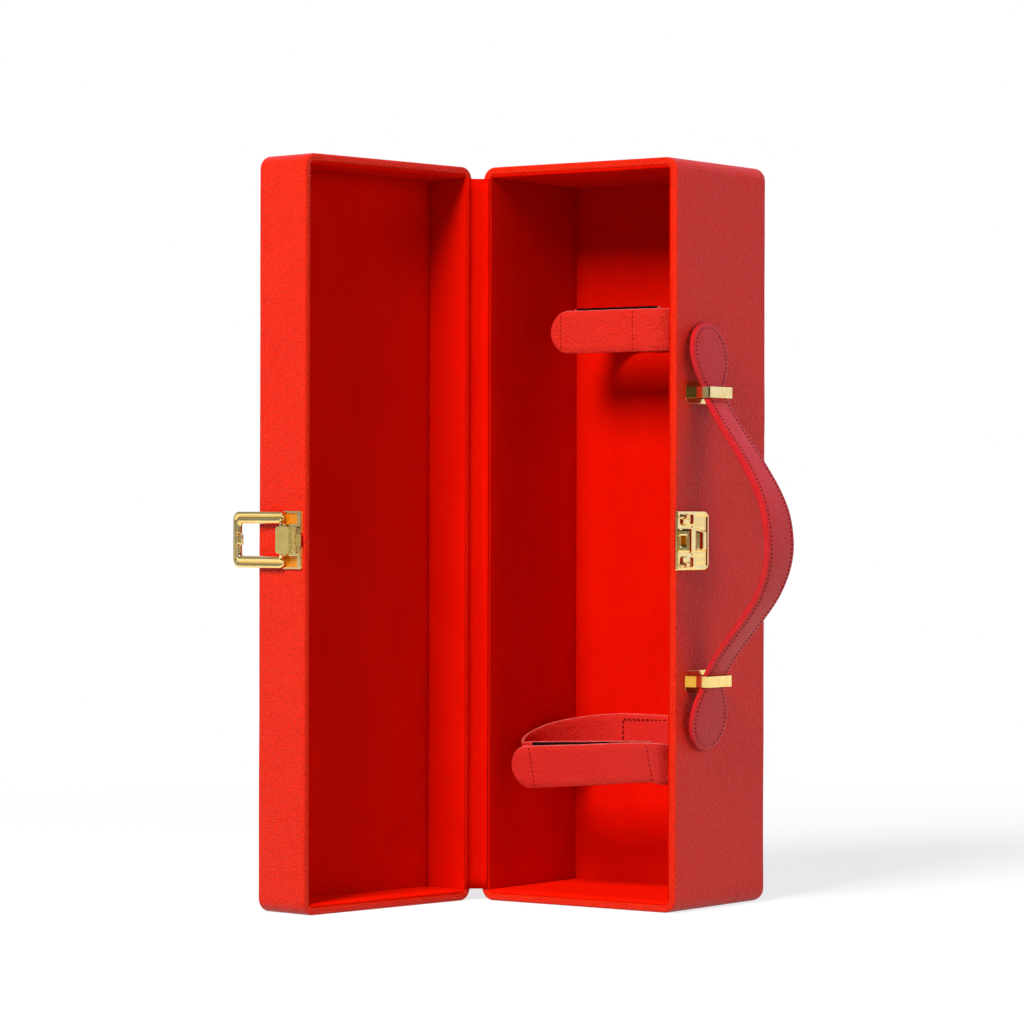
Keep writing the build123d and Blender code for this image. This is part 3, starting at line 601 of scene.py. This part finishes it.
def stitches(name, line, normals, pitch, length, radius, sink=0.0, material=THREAD):
    """A row of single stitches along a line on a surface, each a short bead of thread."""
    lengths = distances(line)
    count = max(1, int(lengths[-1] / pitch))
    gap = lengths[-1] / count
    verts, faces = [], []
    for k, t in walk(lengths, [gap * (i + 0.5) for i in range(count)]):
        normal = normals[k].lerp(normals[k + 1], t).normalized()
        along = (line[k + 1] - line[k]).normalized()
        across = along.cross(normal).normalized()
        centre = line[k].lerp(line[k + 1], t) - normal * sink
        rings = []
        for where, size in BEAD:
            dip = -radius * 0.5 * abs(where * 2) ** 3
            ring = []
            for a in (tau * s / 6 for s in range(6)):
                offset = across * cos(a) * radius * max(size, 0.05)
                offset += normal * (sin(a) * radius * max(size, 0.05) + dip)
                ring.append(centre + along * (length * where) + offset)
            rings.append(ring)
        add_loft(verts, faces, rings)
    row = make_piece(name, verts, faces, material)
    return row


# Handle: middle line as (offset along Z from the handle's middle, height above the wall)

GRIP_HALF = 44.0
GRIP_HIGH = 44.0
GRIP_THICK = 3.2
END_THICK = 2.5
UPPER_LINE = [(-4.5, GRIP_HIGH), (5.0, 43.2), (13.5, 41.2), (23.0, 36.9), (32.0, 31.4), (41.5, 24.8), (51.0, 17.8),
              (60.0, 11.6), (65.5, 8.4), (69.1, 7.0), (73.0, 6.2), (88.0, 4.3), (102.6, 2.0)]
LOWER_LINE = [(-4.5, GRIP_HIGH), (-13.0, 43.1), (-22.0, 40.2), (-30.0, 35.9), (-39.5, 28.5), (-49.0, 20.4),
              (-57.0, 14.0), (-65.5, 8.5), (-69.1, 7.0), (-73.0, 6.2), (-88.0, 4.3), (-102.6, 2.0)]
DROP_R = 15.3
DROP_FROM = 72.0
SEAM_INSET = 2.5
EDGE_STEPS = (22.5, 45.0, 67.5, 90.0)
FACE_STEPS = 10


def handle_frames(line, side):
    """Stations along half the handle: point, outward normal, half width, thickness, half width of the seam."""
    points = [Vector((HALF_W + h, HANDLE_Y - 0.3, HANDLE_Z + dz)) for dz, h in line]
    mirrored = Vector((points[1].x, points[1].y, 2 * points[0].z - points[1].z))
    path = resample(catmull([mirrored] + points, 10)[10:], 1.0)
    tip = abs(line[-1][0])
    centre = tip - DROP_R
    frames = []
    directions = tangents(path)
    directions[0] = Vector((0, 0, side))
    for p, t in zip(path, directions):
        dz = abs(p.z - HANDLE_Z)
        half = STRAP_WIDE / 2
        if dz < GRIP_HALF:
            half += (GRIP_WIDE - STRAP_WIDE) / 2 * cos(pi / 2 * dz / GRIP_HALF) ** 2
        elif DROP_FROM < dz <= centre:
            half += (DROP_R - half) * sin(pi / 2 * (dz - DROP_FROM) / (centre - DROP_FROM))
        seam = half - SEAM_INSET
        if dz > centre:
            half, seam = (sqrt(max(r ** 2 - (dz - centre) ** 2, 0.0)) for r in (DROP_R, DROP_R - SEAM_INSET))
        thick = GRIP_THICK - (GRIP_THICK - END_THICK) * clamp((dz - 40) / 26)
        thick *= max(roundness(max(tip - dz, 0.0), 1.2), 0.2)
        normal = Vector((0, -side, 0)).cross(t).normalized()
        frames.append((p, normal if normal.x >= 0 else -normal, max(half, 0.4), thick, seam))
    return frames


def handle_section(p, normal, half, thick, seam):
    """Ring of points round the strap: face, painted edge, back and painted edge, with rounded corners."""
    r = min(0.95, thick * 0.42, half * 0.5)
    corner = [(half - r + r * sin(radians(a)), thick / 2 - r + r * cos(radians(a))) for a in EDGE_STEPS]
    edge = corner + [(v, -n) for v, n in reversed(corner)]
    face = [(-half + r + (2 * half - 2 * r) * k / FACE_STEPS, thick / 2) for k in range(FACE_STEPS + 1)]
    groove = lambda v: 0.12 * exp(-((abs(v) - seam) / 0.7) ** 2) if seam > 1 else 0.0
    top = [(v, n + 0.3 * (1 - (v / half) ** 2) - groove(v)) for v, n in face]
    ring = top + edge + [(-v, -n) for v, n in face + edge]
    return [p + Vector((0, 1, 0)) * v + normal * n for v, n in ring]


def handle_half(name, side, line, bend, *replaced):
    """Half the strap and its stitching. bend, a lean in degrees, where it starts and its length, is not used."""
    frames = handle_frames(line, side)
    rings = [handle_section(*station) for station in frames]
    edge, half_ring = FACE_STEPS + 1, len(rings[0]) // 2
    ids = [int(edge <= i % half_ring < edge + 7) for i in range(2 * half_ring)]
    obj = loft_piece(name, rings, [HANDLE_LEATHER, HANDLE_EDGE], (False, True), ids=ids * (len(rings) - 1) + [1])
    lean, near, long = bend
    lean = radians(lean)
    sewn = [f for f in frames if f[-1] > 1.5]
    rows = [[p + Vector((0, v_side * seam, 0)) + n * (thick / 2 + 0.12) for p, n, _, thick, seam in sewn]
            for v_side in (-1, 1)]
    normals = [f[1] for f in sewn]
    seam = stitches(name + "_stitching", rows[0] + rows[1][::-1], normals + normals[::-1], 2.05, 1.35, 0.30, 0.05)
    for piece in (obj, seam):
        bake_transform(piece)
    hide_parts(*replaced)


handle_half("handle_upper", 1, UPPER_LINE, (53.0, 4.3, 78.5),
            "handle_grip", "handle_upper_slope", "handle_upper_end")
handle_half("handle_lower", -1, LOWER_LINE, (51.6, 11.4, 71.6), "handle_lower_slope", "handle_lower_end")


# Bottle straps

BAND_SHOWN = 1.6
BAND_FLAT = 6
BACK_Y = BODY_RIM_Y + BODY_DEPTH - LEATHER - PANEL_BOARD - SIDE_LINING - BAND_SHOWN / 2
BODY_STRAP = SimpleNamespace(
    patch=(-25.0, 25.0, 89.8), front_y=-28.6, hinge_x=38.5, tip_x=-43.3, tape_x=(-31.4, 37.2),
    hook_x=(-33.0, 34.0), inner_x=(-31.6, 37.8), lean=11.0,
    hinge_top=80.7, tip_top=76.0, left_top=78.6, right_top=81.3,
    left=[(-39.1, 22.0, 88.3), (-47.6, 7.0, 85.5), (-49.8, -6.0, 82.0), (-46.8, -17.0, 79.4), (-40.6, -25.4, 77.9)],
    right=[(37.9, 24.2, 88.4), (46.1, 10.0, 85.1), (48.4, -4.0, 82.6), (47.0, -17.4, 80.8), (43.8, -28.6, 79.8)],
    rows=(-30.9, 38.1), slant=0.55, drop=(1.2, -0.6), box=(-22.7, 25.0, 2.7), tape_up=-0.1,
    thread=STRAP_THREAD, leather=STRAP_LEATHER)
NECK_STRAP = SimpleNamespace(
    patch=(-15.0, 15.0, 291.6), front_y=-3.8, hinge_x=23.4, tip_x=-38.0, tape_x=(-23.4, 23.2),
    hook_x=(-30.0, 11.2), inner_x=(-23.6, 23.8), lean=0.0,
    hinge_top=290.1, tip_top=290.2, left_top=291.2, right_top=291.2,
    left=[(-24.4, 27.4, 291.5), (-29.8, 18.0, 291.4), (-31.4, 7.6, 291.3), (-29.2, -0.4, 291.2)],
    right=[(24.4, 27.4, 291.0), (29.8, 18.0, 290.2), (31.6, 6.0, 290.2), (29.4, -4.4, 290.1)],
    rows=(-32.5, 11.0), slant=0.0, drop=(0.8, 0.6), box=(-15.0, 15.0, 2.2), tape_up=0.45,
    thread=FAINT_THREAD, leather=NECK_LEATHER)


def lean_at(strap, y):
    """How far the band leans at this depth: upright at the back wall, full lean at the front."""
    return radians(strap.lean) * clamp((BACK_Y - y) / (BACK_Y - strap.front_y))


def band_section(top, t, lean, thick, tall):
    """Ring round an upright band below its top edge point, with its own width direction."""
    up = Vector((0, -sin(lean), cos(lean)))
    up = (up - t * up.dot(t)).normalized()
    out = t.cross(up).normalized()
    centre = top - UP * (STRAP_TALL / 2)
    half, edge = tall / 2, min(0.4, tall * 0.3)
    ring = []
    for side in (1, -1):
        for k in range(BAND_FLAT + 1):
            w = -half + edge + (2 * half - 2 * edge) * k / BAND_FLAT
            ring.append(centre + up * (side * w) + out * (side * thick / 2))
        for a in (pi * k / 4 for k in range(1, 4)):
            w = half - edge + edge * sin(a)
            ring.append(centre + up * (side * w) + out * (side * thick / 2) * cos(a))
    return ring


def band_mesh(name, stations, thick, materials, caps=(True, True)):
    """stations are (top edge point, height of the band there, its lean)."""
    directions = tangents([s[0] for s in stations])
    rings = [band_section(top, t, lean, thick, tall) for (top, tall, lean), t in zip(stations, directions)]
    ids = [int(BAND_FLAT <= i < BAND_FLAT + 4 or i >= 2 * BAND_FLAT + 5) for i in range(len(rings[0]))]
    return loft_piece(name, rings, materials, caps, ids=ids * (len(rings) - 1) + [1] * sum(caps))


def strap_lines(strap):
    """The band's top edge as two smooth lines: inner arm round to the patch, and patch to the tab's tip."""
    x0, x1, patch_top = strap.patch
    y, tab_y = strap.front_y, strap.front_y - BAND - 2 * TAPE - TAPE_GAP
    left, right = strap.inner_x
    inner = [(right, y, strap.right_top), (0, y, (strap.left_top + strap.right_top) / 2), (left, y, strap.left_top)]
    inner += strap.left[::-1] + [(x, BACK_Y, patch_top) for x in (x0, 0, x1)]
    front = [(x1, BACK_Y, patch_top)] + strap.right + [(strap.hinge_x, tab_y, strap.hinge_top)]
    front += [((strap.hinge_x + strap.tip_x) / 2, tab_y, (strap.hinge_top + strap.tip_top) / 2),
              (strap.tip_x, tab_y, strap.tip_top)]
    return resample(catmull(inner, 10), 1.6), resample(catmull(front, 10), 1.2)


def tape_piece(name, strap, x_range, y, tops, tall, body, replaced):
    """A strip of hook-and-loop tape with a slightly ragged top edge."""
    stations = []
    for t in (k / TAPE_STEPS for k in range(TAPE_STEPS + 1)):
        x = x_range[0] + (x_range[1] - x_range[0]) * t
        top = tops[0] + (tops[1] - tops[0]) * t + random.uniform(-0.12, 0.12)
        stations.append((Vector((x, y, top)), tall, radians(strap.lean)))
    place(band_mesh(name, stations, TAPE, [TAPE_BLACK, TAPE_BLACK]), body, "hook_and_loop", replaced)


def build_strap(prefix, strap):
    """One bottle strap: its loop, its free front arm, both tapes and the stitches."""
    name, tab_body = prefix + "_strap", prefix + "_strap_tab"
    leathers = [strap.leather, STRAP_EDGE]
    front_y, hinge_x, tip_x = strap.front_y, strap.hinge_x, strap.tip_x
    inner, front = strap_lines(strap)
    split = next(k for k, p in enumerate(front) if p.y < front_y * 0.3 + 6)
    tab_line = front[split:]
    stations = [(p, STRAP_TALL, lean_at(strap, p.y)) for p in inner[:-2] + front[1:split + 1]]
    band = band_mesh(name + "_loop", stations, BAND_SHOWN, leathers, caps=(True, False))
    place(band, "case_body", "strap_leather", name + "_band")

    radius = STRAP_TALL / 2
    tip_drop, hinge_drop = strap.drop

    def drop_at(p):
        """How much the tab hangs below its plain width here: the soft leather stretches a little at the tip."""
        if p.y > front_y - 4:
            return hinge_drop * clamp((p.y - tab_line[0].y) / (front_y - 4 - tab_line[0].y))
        return tip_drop + (hinge_drop - tip_drop) * clamp((p.x - tip_x) / (hinge_x - tip_x))

    lean = radians(strap.lean)
    stations = [(p - UP * (drop_at(p) / 2), STRAP_TALL + drop_at(p), lean_at(strap, p.y))
                for p in tab_line if p.y >= front_y - 2 or p.x - tip_x >= radius]
    round_start = tab_line[-1] + (tab_line[-4] - tab_line[-1]).normalized() * radius
    toward = (tab_line[-1] - round_start).normalized()
    for a in (radians(a) for a in range(4, 91, 6)):
        tall = (2 * radius + tip_drop) * cos(a)
        top = round_start + toward * (radius * sin(a)) - UP * (tip_drop / 2)
        stations.append((top, max(tall, 0.4), lean))
    tab = band_mesh(name + "_front", stations, BAND_SHOWN, leathers, caps=(False, True))
    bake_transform(tab)
    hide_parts(tab_body)

    tape_y = front_y - BAND / 2 - TAPE / 2
    tape_piece(prefix + "_loop_tape", strap, strap.tape_x, tape_y,
               (strap.left_top + strap.tape_up, strap.right_top + strap.tape_up), STRAP_TALL - 0.6, "case_body",
               name + "_loop_tape")
    slope = (strap.hinge_top - strap.tip_top) / (hinge_x - tip_x)
    tape_piece(prefix + "_hook_tape", strap, strap.hook_x, tape_y - TAPE - TAPE_GAP,
               [strap.tip_top + slope * (x - tip_x) - 1.0 for x in strap.hook_x], STRAP_TALL - 3.2, tab_body,
               name + "_hook_tape")

    up = Vector((0, -sin(lean), cos(lean)))
    out = Vector((0, -cos(lean), -sin(lean)))
    for k, x in enumerate(strap.rows):
        at = min((p for p in tab_line if p.y < front_y + 6), key=lambda p: abs(p.x - x))
        tall = STRAP_TALL + drop_at(at)
        centre = at - UP * (tall / 2) + out * (BAND_SHOWN / 2 + 0.1)
        half = tall / 2 - 0.5
        if x - tip_x < radius:
            half = sqrt(radius ** 2 - (radius - (x - tip_x)) ** 2) - 0.5
        line = [centre + up * (half - 2 * half * i / 12) + Vector((strap.slant * (i / 6 - 1), 0, 0))
                for i in range(13)]
        row = stitches(f"{name}_stitches_{k + 1}", line, [out] * 13, 2.1, 1.6, 0.26, material=strap.thread)
        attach(row, tab_body)
    x0, x1, inset = strap.box
    face_y = BACK_Y - BAND_SHOWN / 2 - 0.02
    low, high = strap.patch[2] - STRAP_TALL + inset, strap.patch[2] - inset
    box = [Vector((x, face_y, z)) for x, z in ((x0, high), (x1, high), (x1, low), (x0, low), (x0, high))]
    box = resample(box, 1.0)
    seam = stitches(name + "_box_stitches", box, [Vector((0, -1, 0))] * len(box), 2.6, 1.8, 0.34,
                    material=STRAP_THREAD)
    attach(seam, "case_body")


build_strap("body", BODY_STRAP)
build_strap("neck", NECK_STRAP)


# The latch's bail, in the closed lid's place before it is turned open

BAIL_X = 59.2
BAIL_THICK = 2.2
BAIL_TALL = 26.8
BAIL_BAND = 5.8
BAIL_GROOVE = 2.65
BAIL_CORNER = 4.0
BAIL_ROUND = 2.6
FAR = 99.0
AXLE = (4.7, 8.6)
AXLE_R = 0.9
TAB_HALF = 2.6
TAB_THICK = 0.8
TAB_EDGE = 0.3
BAIL_PIVOT_Y = -53.8
BAIL_ROOT_Y = BAIL_PIVOT_Y + 1.1
BAIL_END_Y = -87.2
BAIL_SECTION = [(0.02, 0.45), (0.12, 0.85), (0.45, 1.08), (1.0, 1.14), (1.7, 1.08), (2.1, 0.86), (2.4, 0.62),
                (2.65, 0.66), (2.85, 1.15), (3.1, 1.6), (3.5, 1.96), (4.0, 2.16), (4.5, 2.18), (5.0, 1.98),
                (5.4, 1.58), (5.68, 1.05), (5.8, 0.55), (5.7, 0.15), (5.4, 0.0), (4.2, 0.0), (2.8, 0.0), (1.4, 0.0),
                (0.5, 0.0), (0.14, 0.1)]


def bail_stations():
    """Stations round the open frame: kind, part way, distance from the arm's end and from the middle, side."""
    arm = BAIL_ROOT_Y - (BAIL_END_Y + BAIL_CORNER)
    steps = [0.0, 0.15, 0.4, 0.8, 1.3, 1.9]
    steps += [BAIL_ROUND + (arm - BAIL_ROUND) * k / 20 for k in range(21)]
    half = [("arm", d / arm, d, FAR, 1) for d in steps] + [("corner", k / 8, FAR, FAR, 1) for k in range(1, 8)]
    band = [("band", t, FAR, abs(t) * (BAIL_TALL / 2 - BAIL_CORNER), 1) for t in (-1 + k / 32 for k in range(65))]
    return half + band + [(*station[:4], -1) for station in reversed(half)]


def bail_point(station, inset, height):
    """Where a point of the section lies at a station. The section narrows at the arms' ends and by the tab."""
    kind, way, end, middle, side = station
    low_trim = high_trim = 0.0
    if end < BAIL_ROUND:
        low_trim = BAIL_ROUND - sqrt(BAIL_ROUND ** 2 - (BAIL_ROUND - end) ** 2)
        high_trim = low_trim * 0.9
        height *= max(roundness(end, 2.2), 0.25)
    if 2.55 < middle < 4.0:
        high_trim = 2.4 * (1 - abs(middle - 3.28) / 0.73)
    rail = BAIL_BAND - BAIL_GROOVE
    if kind != "band":
        w = low_trim + (inset / BAIL_BAND) * (BAIL_BAND - low_trim - high_trim)
    elif inset < BAIL_GROOVE:
        w = inset
    else:
        w = BAIL_GROOVE + (inset - BAIL_GROOVE) * (rail - high_trim) / rail
    radius = max(BAIL_CORNER - w, 1.3)
    half = BAIL_TALL / 2
    turn_y, turn_z = BAIL_END_Y + w + radius, half - w - radius
    if kind == "arm":
        y, z = BAIL_ROOT_Y + (turn_y - BAIL_ROOT_Y) * way if end >= 8 else BAIL_ROOT_Y - end, half - w
    elif kind == "corner":
        a = pi / 2 * way
        y, z = turn_y - radius * sin(a), turn_z + radius * cos(a)
    else:
        y, z = BAIL_END_Y + w, -turn_z * way
    return Vector((BAIL_X + height, y, LATCH_Z + z * side))


def latch_bail_frame():
    """The open frame with its two stub axles and the bent tab that hooks on the catch."""
    verts, faces = [], []
    add_loft(verts, faces, [[bail_point(station, *at) for at in BAIL_SECTION] for station in bail_stations()])
    for side in (-1, 1):
        low, high = LATCH_Z + side * AXLE[0], LATCH_Z + side * AXLE[1]
        u = (UP * side).orthogonal().normalized()
        v = (UP * side).cross(u)
        axle = [Vector((BAIL_X + BAIL_THICK / 2, BAIL_PIVOT_Y, low + (high - low) * k / 3)) for k in range(4)]
        turns = [tau * k / 12 for k in range(12)]
        add_loft(verts, faces, [[p + (u * cos(a) + v * sin(a)) * AXLE_R for a in turns] for p in axle])
    tab = [(1.3, -0.9), (1.5, -0.2), (2.0, 1.3), (2.6, 2.75)]
    path = resample(catmull([Vector((BAIL_X + x, BAIL_END_Y + BAIL_BAND + y, 0)) for x, y in tab], 6), 0.3)
    heights = [-TAB_HALF + TAB_EDGE + (2 * TAB_HALF - 2 * TAB_EDGE) * k / 8 for k in range(9)]
    rings = []
    for p, t in zip(path, tangents(path)):
        n = Vector((-t.y, t.x, 0)) * TAB_THICK / 2
        ring = []
        for side in (1, -1):
            ring += [p + n * side + UP * (LATCH_Z + side * z) for z in heights]
            ring.append(p + UP * (LATCH_Z + side * TAB_HALF))
        rings.append(ring)
    add_loft(verts, faces, rings)
    obj = make_piece("latch_bail_frame", verts, faces, POLISHED_GOLD, LID_TURN)
    place(obj, "latch_bail", "polished_gold", "latch_bail")


latch_bail_frame()


# The catch on the body: an embossed plate and its rolled hook

CATCH_LONG = 27.0
CATCH_HALF = 14.2
CATCH_PLATE = 1.2
CATCH_CORNER = 4.0
HOOK_WIDE = 11.6
HOOK_SHEET = 0.9
HOOK_HIGH = 6.0
HOOK_LONG = 11.7


def swell(value, low, high, edge):
    """1 between low and high, falling smoothly to 0 over the edge outside."""
    outside = max(low - value, value - high, 0.0) / edge
    return 0.0 if outside >= 1 else (1 + cos(pi * outside)) / 2


def hump(value, centre, half):
    t = (value - centre) / half
    return 1 - t * t if abs(t) < 1 else 0.0


def catch_height(back, up, edge):
    """Height above the wall, given the place back from the rim, up from the middle and in from the edge."""
    height = CATCH_PLATE - 0.5 + 0.5 * roundness(edge, 0.6)
    height += 0.22 * hump(edge, 0.9, 0.9) - 0.38 * hump(edge, 2.7, 1.1) * (1 if back > 15 else 0)
    wing = (0.75 + 1.05 * swell(up, 10.9, 12.2, 0.9)) * hump(back, 6.0, 4.2) + 0.85 * hump(back, 13.2, 2.4)
    height += wing * swell(up, 8.2, 12.2, 0.9)
    height += 2.1 * hump(back, 20.3, 4.3) * swell(up, 0.0, 4.0, 1.4)
    height += 0.38 * hump(up, 6.5, 0.9) * swell(back, 12.6, 23.0, 1.2)
    height += 0.45 * hump(back, 14.4, 1.2) * swell(up, 0.0, 5.4, 0.9)
    return max(height, 0.3)


def catch_relief():
    """The plate as a grid of heights, rounded at its two far corners."""
    columns, rows = 84, 96
    grid = []
    for i in range(columns + 1):
        back = -0.9 + (CATCH_LONG + 0.9) * i / columns
        over = max(back - (CATCH_LONG - CATCH_CORNER), 0.0)
        reach = CATCH_HALF - CATCH_CORNER + sqrt(max(CATCH_CORNER ** 2 - over * over, 0.4))
        row = []
        for j in range(rows + 1):
            up = reach * (-1 + 2 * j / rows)
            edge = min(back + 1.1, CATCH_LONG - back, reach - abs(up))
            row.append(Vector((HALF_W + catch_height(back, abs(up), edge), BODY_RIM_Y + back, LATCH_Z + up)))
        grid.append(row)
    return relief(grid, lambda p: Vector((HALF_W, p.y, p.z)))


def hook_sheet():
    """The rolled hook: a thick strip bent over in an arch, with a slot in its front."""
    half, thick = HOOK_WIDE / 2, HOOK_SHEET
    y0, y1 = BODY_RIM_Y + 0.35 + thick / 2, BODY_RIM_Y + HOOK_LONG - thick / 2
    high = HOOK_HIGH - thick / 2
    line = [(0.7, y0), (1.6, y0 + 0.02), (high * 0.46, y0 + 0.25), (high * 0.78, y0 + 1.5),
            (high * 0.97, y0 + 3.4), (high, (y0 + y1) / 2 - 0.5), (high * 0.94, y1 - 2.9),
            (high * 0.74, y1 - 1.1), (3.3, y1 - 0.15)]
    path = resample(catmull([Vector((HALF_W + x, y, 0)) for x, y in line], 8), 0.32)
    across = [-half + 0.7 + (2 * half - 1.4) * k / 16 for k in range(17)]
    across = [-half, -half + 0.25] + across + [half - 0.25, half]
    wide = len(across)
    verts, faces = [], []
    for sign in (1, -1):
        for p, t in zip(path, tangents(path)):
            n = Vector((t.y, -t.x, 0))
            n = n if n.x >= 0 or n.y < 0 else -n
            for v in across:
                depth = thick / 2 * max(roundness(half - abs(v), 0.45), 0.3)
                verts.append(p + n * depth * sign + UP * (LATCH_Z + v))
    behind = len(path) * wide

    def solid(i, j):
        """Whether the strip is there: inside its edges and outside the slot."""
        if not (0 <= i < len(path) - 1 and 0 <= j < wide - 1):
            return False
        x = (path[i].x + path[i + 1].x) / 2 - HALF_W
        v = (across[j] + across[j + 1]) / 2
        return not (path[i].y < BODY_RIM_Y + 3.4 and 1.9 < x < 4.4 and abs(v) < 2.8)

    for i in range(len(path) - 1):
        for j in (j for j in range(wide - 1) if solid(i, j)):
            a, b, c, d = i * wide + j, i * wide + j + 1, (i + 1) * wide + j + 1, (i + 1) * wide + j
            faces += [(a, b, c, d), (a + behind, b + behind, c + behind, d + behind)]
            for ni, nj, p, q in ((i - 1, j, a, b), (i + 1, j, d, c), (i, j - 1, a, d), (i, j + 1, b, c)):
                if not solid(ni, nj):
                    faces.append((p, q, q + behind, p + behind))
    return verts, faces


place(make_piece("catch_embossed_plate", *catch_relief(), POLISHED_GOLD), "case_body", "polished_gold",
      "catch_plate", "catch_rivets")
place(make_piece("catch_rolled_hook", *hook_sheet(), POLISHED_GOLD), "case_body", "polished_gold")


# Finishes of the model's own hard parts

def finish(material, *names):
    for name in names:
        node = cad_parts[name]
        node.data.materials.clear()
        node.data.materials.append(material)


# The latch plate's sunk floors carry a painted orange reflection
finish(POCKET_REFLECTION_GOLD, "latch_base_plate")
finish(POLISHED_GOLD, "latch_pin", "latch_rivets", "handle_loop_rivets", "handle_upper_loop",
       "handle_lower_loop")
finish(SATIN_GOLD, "latch_lever")
finish(BOARD, *[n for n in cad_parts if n.endswith("_board")])


# Camera, light and background

camera_data = bpy.data.cameras.new("camera")
camera_data.lens = 139.95
camera_data.sensor_width = 36.0
camera_data.clip_start, camera_data.clip_end = 0.05, 50.0
camera = add_object("camera", camera_data)
yaw, pitch, roll = radians(-35.83), radians(0.03), radians(0.15)
forward = Vector((sin(yaw) * cos(pitch), cos(yaw) * cos(pitch), sin(pitch)))
right = Vector((cos(yaw), -sin(yaw), 0))
up = right.cross(forward)
right, up = right * cos(roll) + up * sin(roll), up * cos(roll) - right * sin(roll)
turn = Matrix((right, up, -forward)).transposed().to_4x4()
camera.matrix_world = Matrix.Translation(Vector((1.1011, -1.61905, 0.1897))) @ turn
bpy.context.scene.camera = camera
bpy.context.scene.view_settings.view_transform = "Standard"


KEY_POWER = 132.0
SIDE_POWER = 12.5
ROOM_DARK = 0.02
ROOM_LIGHT = 0.35
MIRROR_DARK = 0.34
MIRROR_LAMP = 3.0
FLOOR_LIFT = 0.74
CENTRE = Vector((0.0, -0.03, 0.18))


def softbox(name, location, size, power):
    """A rectangular lamp that faces the object and doesn't show in its gloss."""
    data = bpy.data.lights.new(name, "AREA")
    data.shape = "RECTANGLE"
    data.size, data.size_y = size
    data.energy = power
    lamp = add_object(name, data)
    lamp.location = location
    lamp.rotation_euler = (CENTRE - Vector(location)).to_track_quat("-Z", "Y").to_euler()
    lamp.visible_glossy = False


softbox("key", (0.12, -2.47, 2.03), (1.0, 1.25), KEY_POWER)
softbox("side", (1.95, 0.25, 0.55), (1.5, 1.0), SIDE_POWER)

# A white backdrop behind the object, in a room that is dark in front of it. The camera sees white all round.
world = bpy.data.worlds.new("studio")
bpy.context.scene.world = world
world.use_nodes = True
tree = world.node_tree
generated = add_node(tree, "TexCoord")["Generated"]
depth = add_node(tree, "SeparateXYZ", {0: generated})["Y"]


def aimed(way):
    """How far a ray of the room points this way."""
    return add_node(tree, "VectorMath", {0: generated, 1: way}, operation="DOT_PRODUCT")["Value"]


behind = smooth_range(tree, depth, -0.25, 0.35, ROOM_DARK, ROOM_LIGHT)
mirrored = smooth_range(tree, depth, 0.10, 0.50, MIRROR_DARK, 1.0)
dim = smooth_range(tree, aimed((0.80, -0.60, 0.0)), 0.15, 0.60, 1.0, 0.10)
lamp = smooth_range(tree, aimed((0.05, -0.82, 0.57)), 0.955, 0.985, 0.0, MIRROR_LAMP)
shiny = math_node(tree, "ADD", math_node(tree, "MULTIPLY", mirrored, dim), lamp)
rays = add_node(tree, "LightPath")
level = add_node(tree, "Mix", {0: rays["Is Glossy Ray"], 2: behind, 3: shiny})[0]
room = add_node(tree, "Background", {"Color": (0.84, 0.92, 1.25, 1), "Strength": level})[0]
white = add_node(tree, "Background", {"Color": (1, 1, 1, 1), "Strength": 1.0})[0]
seen = math_node(tree, "MAXIMUM", rays["Is Camera Ray"], rays["Is Transmission Ray"])
mixed = add_node(tree, "MixShader", {0: seen, 1: room, 2: white})[0]
tree.links.new(mixed, tree.nodes["World Output"].inputs["Surface"])

REACH = 9.0
floor_mesh = bpy.data.meshes.new("floor")
corners = [(-REACH, -REACH, 0), (REACH, -REACH, 0), (REACH, REACH, 0), (-REACH, REACH, 0)]
floor_mesh.from_pydata(corners, [], [(0, 1, 2, 3)])
floor = add_object("floor", floor_mesh)
f = Nodes("floor_white")
f.set(Base_Color=(0.50, 0.50, 0.50, 1), Roughness=1.0, Specular_IOR_Level=0.0)
away = f.add("VectorMath", {0: f.coord}, operation="LENGTH")["Value"]
far = smooth_range(f.tree, away, 0.25, 0.95, 0.0, 1.0)
glow, lift = (f.add("Emission", {"Color": (1, 1, 1, 1), "Strength": level})[0] for level in (1.0, FLOOR_LIFT))
matt = f.add("BsdfDiffuse", {"Color": (0.30, 0.30, 0.30, 1)})[0]
lit = f.add("AddShader", {0: matt, 1: lift})[0]
faded = f.add("MixShader", {0: far, 1: lit, 2: glow})[0]
rays = f.add("LightPath")
looks = math_node(f.tree, "MAXIMUM", rays["Is Camera Ray"], rays["Is Glossy Ray"])
looks = math_node(f.tree, "MAXIMUM", looks, rays["Is Transmission Ray"])
shown = f.add("MixShader", {0: looks, 1: f.shader.outputs[0], 2: faded})[0]
f.tree.links.new(shown, f.tree.nodes["Material Output"].inputs["Surface"])
floor_mesh.materials.append(f.material)
